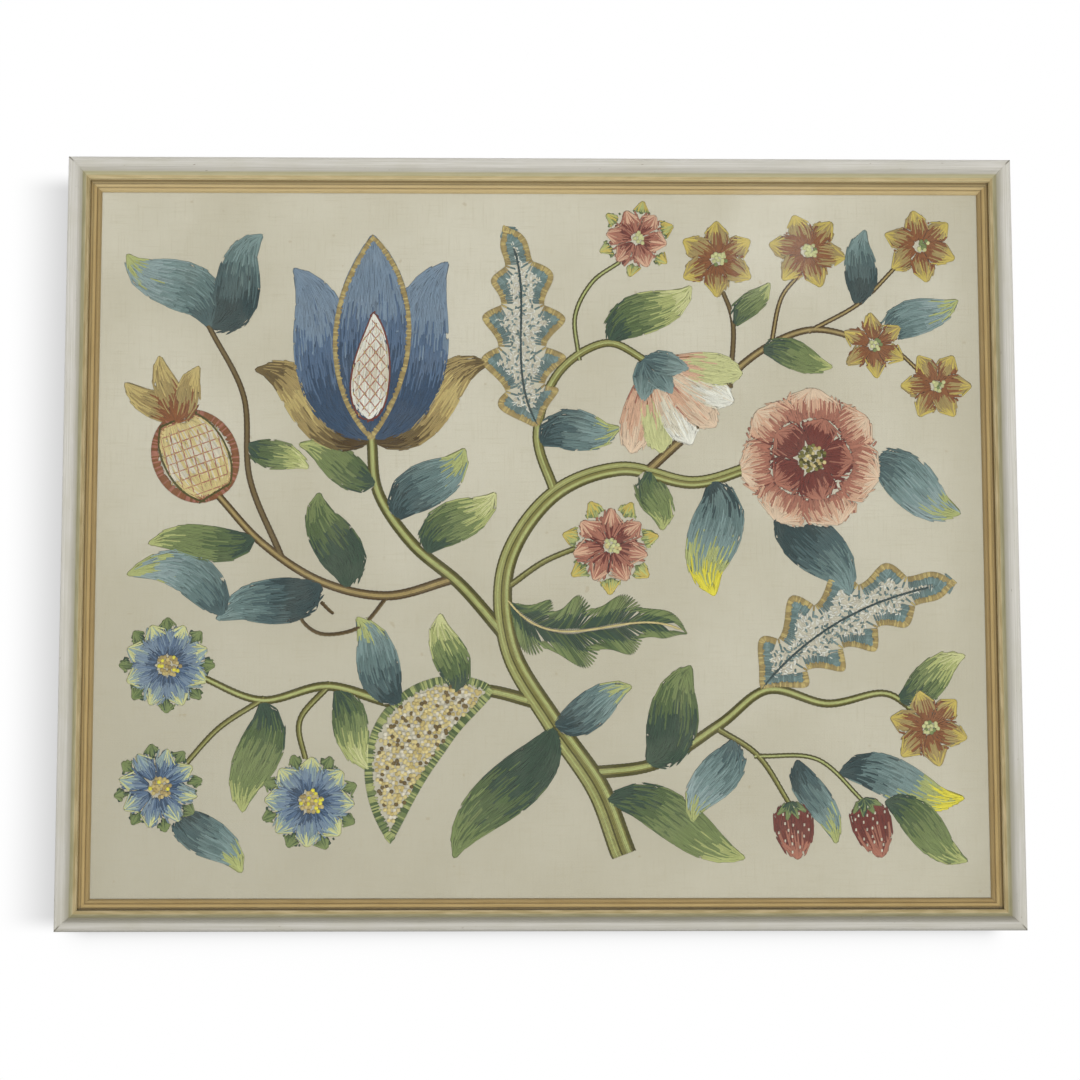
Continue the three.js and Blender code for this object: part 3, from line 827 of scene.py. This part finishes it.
def satin_band(motif, outline, depth, wools, inset=0.0, lift=0.0):
    """Satin stitches set side by side across a band that follows an outline, on its inner side."""
    places, ahead = along_path(closed(outline), PITCH)
    x, y = outline.T
    inward = 1.0 if np.sum(x * np.roll(y, -1) - np.roll(x, -1) * y) > 0 else -1.0
    for place, way in zip(places, ahead):
        normal = left_of(way) * inward
        reach = depth * draw.uniform(*SATIN_REACH)
        motif.stitch(place + normal * inset, place + normal * (inset + reach), draw.choice(wools), lift=lift)


def scatter(outline, spacing, inset):
    """Uneven places inside an outline, clear of its edge."""
    low, high = outline.min(axis=0), outline.max(axis=0)
    spots = []
    for row, y in enumerate(np.arange(low[1], high[1], spacing * 0.87)):
        for x in np.arange(low[0] + (row % 2) * spacing / 2, high[0], spacing):
            spots.append([c + draw.uniform(-SCATTER, SCATTER) * spacing for c in (x, y)])
    spots = np.array(spots)
    return spots[inside(spots, outline) & (edge_distance(spots, outline, 1.0) > inset)]


def seed_field(motif, outline, inset, wools, spacing):
    """Seed stitches: short single stitches lying every way."""
    for place in scatter(outline, spacing, inset):
        angle = draw.uniform(0, math.pi)
        half = np.array([math.cos(angle), math.sin(angle)]) * SEED_LENGTH / 2
        motif.stitch(place - half, place + half, draw.choice(wools), loose="seeds")


def knot_field(motif, outline, inset, wools, spacing):
    """French knots packed side by side."""
    for place in scatter(outline, spacing, inset):
        motif.knot(place, draw.choice(wools))


def trellis(motif, outline, spacing, turns, wool, tie, lift=0.0):
    """Long laid threads that cross, tied down with a small stitch where they meet."""
    middle = outline.mean(axis=0)
    reach = float(np.hypot(*(outline - middle).T).max())
    lines = []
    for turn in turns:
        way = heading(turn)
        side = left_of(way)
        for offset in np.arange(-reach, reach, spacing):
            samples = middle + side * offset + np.linspace(-reach, reach, 121)[:, None] * way
            held = samples[inside(samples, outline)]
            if len(held) > 6:
                motif.stitch(held[0], held[-1], wool, LAID_WIDTH, lift + 0.2)
                lines.append((middle + side * offset, way))
    for base, way in lines:
        for other, cross in lines:
            area = way[0] * cross[1] - way[1] * cross[0]
            if area > 0.2:
                gap = other - base
                meet = base + way * ((gap[0] * cross[1] - gap[1] * cross[0]) / area)
                if inside(meet[None], outline)[0]:
                    half = unit(way + cross) * TIE_HALF
                    motif.stitch(meet - half, meet + half, tie, LAID_WIDTH, lift + 0.28)


# Motifs

def stem_motif(stem):
    places, ahead = along_path(smooth_route(stem.route), 3.0)
    side = np.stack([-ahead[:, 1], ahead[:, 0]], axis=1)
    half = np.linspace(stem.start, stem.end, len(places))[:, None] / 2
    motif = Motif("stem_wool", np.vstack([places + side * half, (places - side * half)[::-1]]))
    count = max(2, math.ceil(stem.start / ROPE_PITCH))
    for k in range(count):
        share = (k + 0.5) / count
        line = places + side * half * (1 - 2 * share) * (1 - 0.5 * STRAND / stem.start)
        wool = stem.wools[min(int(share * len(stem.wools)), len(stem.wools) - 1)]
        rope(motif, line, wool, lift=0.25 * (1 - abs(1 - 2 * share)))
    return motif


def seeded_motif(leaf):
    """A lobed leaf left open: an ochre outline, a teal band, white seeds and a dark vein."""
    blade = Blade(leaf)
    outline = blade.outline()
    motif = Motif("banded_leaf_wool", outline)
    satin_band(motif, outline, 5.4, ("teal", "teal", "slate"), inset=2.8)
    satin_band(motif, outline, 3.8, ("ochre", "ochre", "gold"), lift=0.15)
    seed_field(motif, outline, 6.6, ("white", "white", "cream", "white", "slate", "teal"), 2.1)
    rope(motif, blade.vein(0.02, 0.86), "navy", lift=0.2)
    return motif


def knotted_motif(leaf):
    """A plump leaf with a green border and a field of knots."""
    outline = Blade(leaf).outline()
    motif = Motif("banded_leaf_wool", outline)
    satin_band(motif, outline, 5.2, ("leaf", "fern", "lime"))
    knot_field(motif, outline, 5.6, ("straw", "gold", "straw", "bark", "cream"), 2.5)
    return motif


def fishbone_motif(leaf):
    motif = Motif("banded_leaf_wool", Blade(leaf).outline())
    shade_fishbone(motif, Blade(leaf), ("leaf", "fern", "leaf"), ("forest", "forest", "fern"), "straw")
    return motif


def plain_motif(leaf, group):
    blade = Blade(leaf)
    motif = Motif(group, blade.outline())
    shade_lengthwise(motif, blade, ZONES[leaf.dress])
    return motif


def lined_petal_motif(leaf):
    """The middle petal: blue with an ochre border and a pale heart edged in red."""
    blade = Blade(leaf)
    motif = plain_motif(leaf, "bloom_wool")
    satin_band(motif, blade.outline(), 3.4, ("ochre", "gold", "ochre"), lift=0.3)
    heart = Blade(leaf._replace(base=blade.at(0.1, 0), tip=blade.at(0.62, 0), half=(11, 11), widest=0.36))
    shade_lengthwise(motif, heart, ("white", "cream", "white"), lift=0.3)
    trellis(motif, heart.outline(), 5.0, (52, 128), "rose", "gold", lift=0.3)
    rope(motif, closed(heart.outline()), "crimson", lift=0.38)
    return motif


def trellis_motif(leaf):
    """A round fruit: a rust border, a laid pale ground and a red trellis tied in gold."""
    blade = Blade(leaf)
    motif = Motif("bloom_wool", blade.outline())
    shade_lengthwise(motif, blade, ("straw", "cream", "straw"), (0.06, 0.94), (-0.8, 0.8))
    trellis(motif, blade.outline(0.8, 0.06, 0.93, 40), 5.4, (20, 105), "rose", "gold")
    satin_band(motif, blade.outline(), 5.0, ("rust", "rose", "rust"), lift=0.1)
    rope(motif, closed(blade.outline(0.74, 0.06, 0.93, 40)), "olive", lift=0.3)
    return motif


CAP_TURNS = (-52, -18, 18, 52)
CAP_REACH = 11
CAP_HALF = 2.6


def berry_motif(leaf):
    """A strawberry: red shading, pale seeds and a green cap."""
    motif = plain_motif(leaf, "bloom_wool")
    for place in scatter(Blade(leaf).outline(), 5.0, 2.4):
        motif.stitch(place, (place[0], place[1] - 1.9), "cream", loose="seeds", lift=0.45)
    for turn in CAP_TURNS:
        way = math.atan2(*(np.array(leaf.tip) - leaf.base)[::-1]) + math.radians(turn)
        tip = (leaf.base[0] + CAP_REACH * math.cos(way), leaf.base[1] + CAP_REACH * math.sin(way))
        cap = Blade(Leaf(leaf.base, tip, (0, 0), (CAP_HALF, CAP_HALF), "calyx", 0.4))
        shade_lengthwise(motif, cap, ("forest", "leaf"), lift=0.4)
    return motif


LEAF_MAKERS = {
    "seeded": seeded_motif, "knotted": knotted_motif, "fishbone": fishbone_motif,
    "lined": lined_petal_motif, "trellis": trellis_motif, "berry": berry_motif,
}


def leaf_motif(leaf, group):
    maker = LEAF_MAKERS.get(leaf.dress)
    return maker(leaf) if maker else plain_motif(leaf, group)


def disc(middle, radius):
    angles = np.linspace(0, 2 * math.pi, 28, endpoint=False)
    return np.stack([middle[0] + radius * np.cos(angles), middle[1] + radius * np.sin(angles)], axis=1)


def blossom_motifs(blossom):
    """Rings of petals, each petal its own motif so that one laps the next, and a heart of knots."""
    middle, radius, petals = np.array(blossom.middle), blossom.radius, blossom.petals
    rings, heart, wools = BLOSSOM_KINDS[blossom.kind]
    motifs = []
    for ring in rings:
        count = ring.count or petals
        half = math.pi * radius / petals * ring.half
        turn = 180 / petals if ring.between else ring.turn
        for k in range(count):
            way = heading(blossom.turn + turn + 360 * (k + 0.5) / count)
            sway = draw.uniform(-PETAL_SWAY, PETAL_SWAY)
            petal = Leaf(middle + way * (radius * ring.inner), middle + way * (radius * ring.outer),
                         (sway, -sway), (half, half), ring.dress, ring.widest, ring.ends)
            motifs.append(plain_motif(petal, "blossom_wool"))
    knots = Motif("blossom_wool", disc(middle, radius * heart))
    knot_field(knots, knots.outline, 0.6, wools, 2.3)
    return [*motifs, knots]


def fan_motifs():
    """A blossom seen from the side: a spread of pale petals under a teal cap."""
    leaves = []
    for bearing, dress in FAN_PETALS.items():
        tip = FAN_BASE + heading(bearing) * FAN_REACH
        leaves.append(Leaf(FAN_BASE, tip, (0, 0), (FAN_HALF, FAN_HALF), dress, FAN_WIDEST, ROUND))
    for bearing in FAN_CAPS:
        way = heading(bearing)
        leaves.append(Leaf(FAN_BASE - way * 3, FAN_BASE + way * 25, (0, 0), (8, 8), "fan_cap", 0.45))
    return [plain_motif(leaf, "bloom_wool") for leaf in leaves]


def all_motifs():
    """Every motif, lowest first."""
    motifs = [stem_motif(stem) for stem in reversed(STEMS)]
    motifs += fan_motifs()
    for leaf in LEAVES:
        motifs.append(leaf_motif(leaf, "left_leaf_wool" if leaf.base[0] < 0 else "right_leaf_wool"))
    motifs += [leaf_motif(petal, "bloom_wool") for petal in PETALS]
    for blossom in BLOSSOMS:
        motifs += blossom_motifs(blossom)
    return motifs


def trimmed(rows, covers):
    """Stitches cut back to what shows, with their ends tucked under the motifs above them."""
    if not rows or not covers:
        return rows
    rows = np.array(rows)
    shares = np.linspace(0, 1, 9)
    starts, ends = rows[:, 0:2], rows[:, 2:4]
    samples = starts[:, None] * (1 - shares)[None, :, None] + ends[:, None] * shares[None, :, None]
    flat = samples.reshape(-1, 2)
    hidden = np.zeros(len(flat), dtype=bool)
    for outline in covers:
        under = np.flatnonzero(inside(flat, outline))
        hidden[under] |= edge_distance(flat[under], outline, 0.8) > TUCK
    hidden = hidden.reshape(samples.shape[:2])
    kept = []
    for row, sample, covered in zip(rows, samples, hidden):
        runs = np.split(np.arange(len(shares)), np.flatnonzero(np.diff(covered)) + 1)
        clear = max((run for run in runs if not covered[run[0]]), key=len, default=[])
        if len(clear) < 2:
            continue
        row = row.copy()
        row[0:2], row[2:4] = sample[clear[0]], sample[clear[-1]]
        if np.hypot(*(row[2:4] - row[0:2])) > SHORTEST:
            kept.append(row)
    return kept


def uncovered(motifs):
    """Trims every motif by those laid over it and gathers the stitches by piece."""
    groups = {}
    boxes = [(m.outline.min(axis=0), m.outline.max(axis=0)) for m in motifs]
    for i, motif in enumerate(motifs):
        low, high = boxes[i]
        covers = [motifs[j].outline for j in range(i + 1, len(motifs))
                  if np.all(boxes[j][0] < high) and np.all(boxes[j][1] > low)]
        for name, rows in ((motif.group, motif.stitches), ("seed_wool", motif.seeds),
                           ("knot_wool", motif.knots)):
            groups.setdefault(name, []).extend(trimmed(rows, covers))
    return groups


# Strands, knots and the tree that lays them. A ring gives x, half width, half height and middle height.

STRAND_RINGS = [(-0.38, 0.46, 0.42, 0.42), (0.0, 0.5, 0.5, 0.5), (0.38, 0.46, 0.42, 0.42)]
STRAND_ENDS = ((-0.5, 0, -0.1), (0.5, 0, -0.1))
STRAND_SIDES = 4
KNOT_RINGS = [(-0.4, 0.34, 0.34, 0.3), (-0.1, 0.5, 0.5, 0.42), (0.16, 0.5, 0.46, 0.42), (0.42, 0.32, 0.3, 0.3)]
KNOT_ENDS = ((-0.5, 0, 0.1), (0.5, 0, 0.12))
KNOT_SIDES = 7
SHORTEST_LAID = 0.6


def ring_shape(name, rings, ends, sides):
    """A closed stitch or knot of unit length: rings with a point at each end."""
    points = [ends[0]]
    for x, half, rise, middle in rings:
        for k in range(sides):
            angle = 2 * math.pi * k / sides
            points.append((x, half * math.cos(angle), middle + rise * math.sin(angle)))
    points.append(ends[1])
    last = len(points) - 1
    faces = []
    for k in range(sides):
        n = (k + 1) % sides
        faces += [(0, 1 + n, 1 + k), (last, last - sides + k, last - sides + n)]
        for a in range(1, 1 + (len(rings) - 1) * sides, sides):
            faces.append((a + k, a + n, a + sides + n, a + sides + k))
    mesh = bpy.data.meshes.new(name)
    mesh.from_pydata(points, [], faces)
    return bpy.data.objects.new(name, mesh)


def laying_tree():
    """Geometry nodes that lay a shape at every point, by its turn and size, and stand the work upright."""
    group = bpy.data.node_groups.new("lay_stitches", "GeometryNodeTree")
    sockets = [("Places", "NodeSocketGeometry"), ("Shape", "NodeSocketObject"), ("Wool", "NodeSocketMaterial"),
               ("Linen face", "NodeSocketVector")]
    for name, kind in sockets:
        group.interface.new_socket(name, in_out="INPUT", socket_type=kind)
    group.interface.new_socket("Stitches", in_out="OUTPUT", socket_type="NodeSocketGeometry")
    t = Tree(group)
    places = t.node("NodeGroupInput", out="Places")
    given = {name: Signal(t, places.socket.node.outputs[name]) for name, _ in sockets}
    turn = t.node("GeometryNodeInputNamedAttribute", {"data_type": "FLOAT"}, {"Name": "turn"})
    size = t.node("GeometryNodeInputNamedAttribute", {"data_type": "FLOAT_VECTOR"}, {"Name": "size"})
    euler = t.node("ShaderNodeCombineXYZ", None, {"Z": turn})
    shape = t.node("GeometryNodeObjectInfo", None, {"Object": given["Shape"]}, out="Geometry")
    laid = t.node("GeometryNodeInstanceOnPoints", None, {
        "Points": given["Places"], "Instance": shape, "Rotation": euler, "Scale": size})
    for name in ("turn", "size"):
        laid = t.node("GeometryNodeRemoveAttribute", None, {"Geometry": laid, "Name": name})
    real = t.node("GeometryNodeRealizeInstances", None, {"Geometry": laid})
    soft = t.node("GeometryNodeSetShadeSmooth", None, {"Geometry": real})
    upright = t.node("GeometryNodeTransform", None, {
        "Geometry": soft, "Rotation": (math.pi / 2, 0, 0), "Translation": given["Linen face"]})
    woolly = t.node("GeometryNodeSetMaterial", None, {"Geometry": upright, "Material": given["Wool"]})
    t.node("NodeGroupOutput", None, {"Stitches": woolly})
    return group


def lay(name, rows, shape, tree, finish, height):
    """Lays one piece's stitches and turns them into a plain mesh."""
    rows = np.array(rows)
    starts, ends = rows[:, 0:2], rows[:, 2:4]
    run = ends - starts
    length = np.maximum(np.hypot(*run.T), SHORTEST_LAID)
    places = np.column_stack([(starts + ends) / 2, rows[:, 5]])
    mesh = bpy.data.meshes.new(name + "_places")
    mesh.from_pydata((places * MM).tolist(), [], [])
    sizes = np.column_stack([length, rows[:, 4], np.full(len(rows), height)]) * MM
    add_values(mesh, "turn", "FLOAT", np.arctan2(run[:, 1], run[:, 0]))
    add_values(mesh, "size", "FLOAT_VECTOR", sizes)
    add_values(mesh, "wool", "FLOAT_COLOR", np.column_stack([rows[:, 6:9], np.ones(len(rows))]))
    holder = bpy.data.objects.new(name + "_places", mesh)
    bpy.context.scene.collection.objects.link(holder)
    modifier = holder.modifiers.new("lay", "NODES")
    modifier.node_group = tree
    values = {"Shape": shape, "Wool": finish, "Linen face": (0.0, LINEN_FACE_Y, CENTRE_Z)}
    for item in tree.interface.items_tree:
        if item.in_out == "INPUT" and item.name in values:
            modifier[item.identifier] = values[item.name]
    holder.update_tag()
    shown = holder.evaluated_get(bpy.context.evaluated_depsgraph_get())
    laid = bpy.data.meshes.new_from_object(shown)
    laid.name = name
    holder.modifiers.remove(modifier)
    bpy.data.objects.remove(holder)
    return new_piece(name, laid, finish)


def flat_map(piece):
    """A map of the piece as seen from the front, for textures made from its colours."""
    mesh = piece.data
    points = np.empty(len(mesh.vertices) * 3, dtype=np.float32)
    mesh.vertices.foreach_get("co", points)
    corners = np.empty(len(mesh.loops), dtype=np.int32)
    mesh.loops.foreach_get("vertex_index", corners)
    flat = points.reshape(-1, 3)[corners][:, [0, 2]]
    flat = (flat - (LINEN_LOW[0], LINEN_LOW[2])) / LINEN_FLAT
    layer = mesh.uv_layers.new(name="OFBake")
    layer.uv.foreach_set("vector", flat.astype(np.float32).ravel())


def wool_finish():
    """Crewel wool: each strand's own dye with a fine fibrous mottle and a soft halo."""
    f = Finish("crewel_wool")
    place = f.place()
    fibre = f.grain(place, (1500.0, 1500.0, 1500.0), 2.0)
    patch = f.noise(place, 60.0, 2.0)
    colour = f.layered(f.value("wool", "Color"), [
        (fibre.rise(0.35, 0.75) * 0.12, "#2a2520"),
        (patch.rise(0.4, 0.7) * 0.04, "#d8cfb8"),
    ])
    return f.surface({
        "Base Color": colour, "Roughness": 0.9, "Specular IOR Level": 0.2, "Sheen Weight": 0.06,
        "Normal": f.bump(fibre, 0.12 * MM)})


def needlework():
    """Every stitch, as one piece for each group of motifs."""
    groups = uncovered(all_motifs())
    finish = wool_finish()
    tree = laying_tree()
    strand = ring_shape("strand", STRAND_RINGS, STRAND_ENDS, STRAND_SIDES)
    knot = ring_shape("knot", KNOT_RINGS, KNOT_ENDS, KNOT_SIDES)
    pieces = []
    for name, rows in groups.items():
        shape, height = (knot, KNOT_HEIGHT) if name == "knot_wool" else (strand, STRAND_HEIGHT)
        piece = lay(name, rows, shape, tree, finish, height)
        flat_map(piece)
        pieces.append(piece)
    for shape in (strand, knot):
        bpy.data.objects.remove(shape)
    return pieces


# Glass and board

def glass_finish():
    """Clear picture glass: seen through, with a fresnel gloss."""
    f = Finish("picture_glass")
    facing = f.node("ShaderNodeLayerWeight", None, {"Blend": 0.5}, out="Facing")
    gloss = 0.04 + 0.96 * facing.math("POWER", facing, 5.0)
    smear = f.noise(f.place(), 6.0, 3.0)
    clear = f.node("ShaderNodeBsdfTransparent", None, {"Color": (0.985, 0.99, 0.985, 1.0)})
    shine = f.node("ShaderNodeBsdfGlossy", None, {"Roughness": 0.03 + smear * 0.04})
    return f.blend(gloss, clear, shine)


def board_finish():
    """Brown hardboard, its mesh side out."""
    f = Finish("hardboard")
    place = f.place()
    fibre = f.grain(place, (900.0, 900.0, 900.0), 3.0)
    cloud = f.noise(place, 22.0, 7.0)
    mesh_side = f.grain(place, (700.0, 1.0, 90.0), 1.0)
    fleck = f.grain(place, (260.0, 1.0, 420.0), 3.0)
    colour = f.layered(f.mix(cloud.rise(0.2, 0.8), "#80613f", "#8d6c47"), [
        (fleck.rise(0.45, 0.75) * 0.5, "#a5855c"),
        (fibre.rise(0.4, 0.7) * 0.4, "#5b4027"),
    ])
    height = fibre * 0.6 + mesh_side * 0.4
    return f.surface({"Base Color": colour, "Roughness": 0.85, "Normal": f.bump(height, 0.3 * MM)})


def dress_node(node, finish):
    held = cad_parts[node]
    held.data.materials.clear()
    held.data.materials.append(finish)


# Stage, light and camera

STAGE_HALF = 4.0
WALL_GAP = 1.0 * MM
FLOOR_Z = -1.8
WORLD_LIGHT = 0.17
WORLD_SHEEN = 0.4
WHITE = (1.0, 1.0, 1.0)
MIDDLE = (0.0, 0.0, CENTRE_Z)

# Lamps: name, place, width and height, power, tint
LAMPS = [
    ("key", (-0.2, -1.7, 0.4), (1.0, 1.0), 5.0, (1.0, 0.99, 0.97)),
    ("front", (0.25, -3.2, -1.15), (1.4, 1.0), 90.0, (1.0, 1.0, 0.98)),
    ("back", (-0.6, 1.8, 0.6), (1.4, 1.4), 45.0, WHITE),
    ("side_left", (-1.6, -0.03, CENTRE_Z), (0.1, 0.8), 7.0, WHITE),
    ("side_right", (1.6, -0.03, CENTRE_Z), (0.1, 0.8), 7.0, WHITE),
    ("side_top", (0.0, -0.03, 1.4), (0.9, 0.1), 7.0, WHITE),
]
WINDOW = ("window", (0.34, -2.0, CENTRE_Z + 0.645), (0.1, 0.13), 0.035, WHITE)
WINDOW_AIM = (0.136, 0.0, CENTRE_Z + 0.176)

# The camera stands below the panel's middle, a little to the left, and looks up at it
CAMERA_PLACE = (-0.0353, -1.6727, -0.2165)
CAMERA_RISE = 7.42
CAMERA_TURN = 1.18
CAMERA_ROLL = 0.09
CAMERA_LENS = 97.16


def plane(name, corners, finish):
    mesh = bpy.data.meshes.new(name)
    mesh.from_pydata(corners, [], [(0, 1, 2, 3)])
    made = bpy.data.objects.new(name, mesh)
    bpy.context.scene.collection.objects.link(made)
    mesh.materials.append(finish)


def panel_shade(f):
    """The shadow painted on the backdrop where the panel would keep light off it: a wide soft band at its left
    and a thin one below.
    """
    x, _, z = f.parts(f.place())
    beside = (cad_low.x - 3 * MM - x) * (1 / MM)
    below = (cad_low.z - z) * (1 / MM)
    under = below.math("MAXIMUM", below, 0.0)
    down_left = ((cad_high.z - z) * (1 / MM)).rise(3, 16) * (1 - below.rise(-10, 2))
    along_foot = (-1 * beside).rise(0, 22) * ((cad_high.x - x) * (1 / MM)).rise(8, 22)
    wide = (1 - beside.rise(-14, 34)) * beside.rise(-40, -20) * down_left * 0.42
    thin = under.math("EXPONENT", under * -0.27) * below.rise(-1, 0) * along_foot * 0.28
    return wide + thin


def glow(f, share, strength):
    """A white glow, clear where its share is 0."""
    white = f.node("ShaderNodeEmission", None, {"Strength": strength})
    return f.blend(share, f.node("ShaderNodeBsdfTransparent"), white)


def wall_finish():
    """A white backdrop that the camera sees from the front only, with the panel's soft shadow painted on it.
    """
    f = Finish("backdrop")
    behind = f.node("ShaderNodeNewGeometry", out="Backfacing")
    return glow(f, f.ray("Camera") * (1 - behind), 1 - panel_shade(f))


def floor_finish():
    """A pale floor that only the camera sees."""
    f = Finish("pale_floor")
    return glow(f, f.ray("Camera"), 0.9 + f.noise(f.place(), 3.0, 2.0) * 0.06)


def area_light(name, place, size, power, tint, aim=MIDDLE, mirrored=False):
    data = bpy.data.lights.new(name, "AREA")
    data.shape = "RECTANGLE"
    data.size, data.size_y = size
    data.energy = power
    data.color = tint
    made = bpy.data.objects.new(name, data)
    made.location = place
    made.rotation_euler = (Vector(aim) - made.location).to_track_quat("-Z", "Y").to_euler()
    made.visible_glossy = mirrored
    made.visible_camera = False
    bpy.context.scene.collection.objects.link(made)


def studio():
    square = [(STAGE_HALF * x, STAGE_HALF * y) for x, y in ((-1, -1), (1, -1), (1, 1), (-1, 1))]
    plane("backdrop", [(x, WALL_GAP, z) for x, z in square], wall_finish())
    plane("floor", [(x, y, FLOOR_Z) for x, y in square], floor_finish())
    scene = bpy.context.scene
    scene.world = bpy.data.worlds.new("studio")
    scene.world.use_nodes = True
    t = Tree(scene.world.node_tree)
    t.tree.nodes.clear()
    level = WORLD_LIGHT + t.ray("Camera") * (1.0 - WORLD_LIGHT) + t.ray("Glossy") * (WORLD_SHEEN - WORLD_LIGHT)
    sky = t.node("ShaderNodeBackground", None, {"Color": (*WHITE, 1.0), "Strength": level})
    t.node("ShaderNodeOutputWorld", None, {"Surface": sky})
    for lamp in LAMPS:
        area_light(*lamp)
    area_light(*WINDOW, WINDOW_AIM, mirrored=True)
    scene.view_settings.view_transform = "Standard"
    scene.cycles.max_bounces = 4
    scene.cycles.diffuse_bounces = 1
    scene.cycles.glossy_bounces = 1


def viewpoint():
    data = bpy.data.cameras.new("camera")
    data.sensor_width = 36.0
    data.lens = CAMERA_LENS
    data.clip_start = 0.05
    made = bpy.data.objects.new("camera", data)
    x, y, z = CAMERA_PLACE
    made.location = (x, y, CENTRE_Z + z)
    made.rotation_euler = [math.radians(a) for a in (90 + CAMERA_RISE, CAMERA_ROLL, -CAMERA_TURN)]
    bpy.context.scene.collection.objects.link(made)
    bpy.context.scene.camera = made


viewpoint()
studio()
border("moulding", "rail", rail_section(), cream_finish())
border("gilt_slip", "slip", slip_section(), gilt_finish())
dress_node("glass", glass_finish())
dress_node("backing_board", board_finish())
linen = linen_sheet(linen_finish())
wool = needlework()
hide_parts("linen")
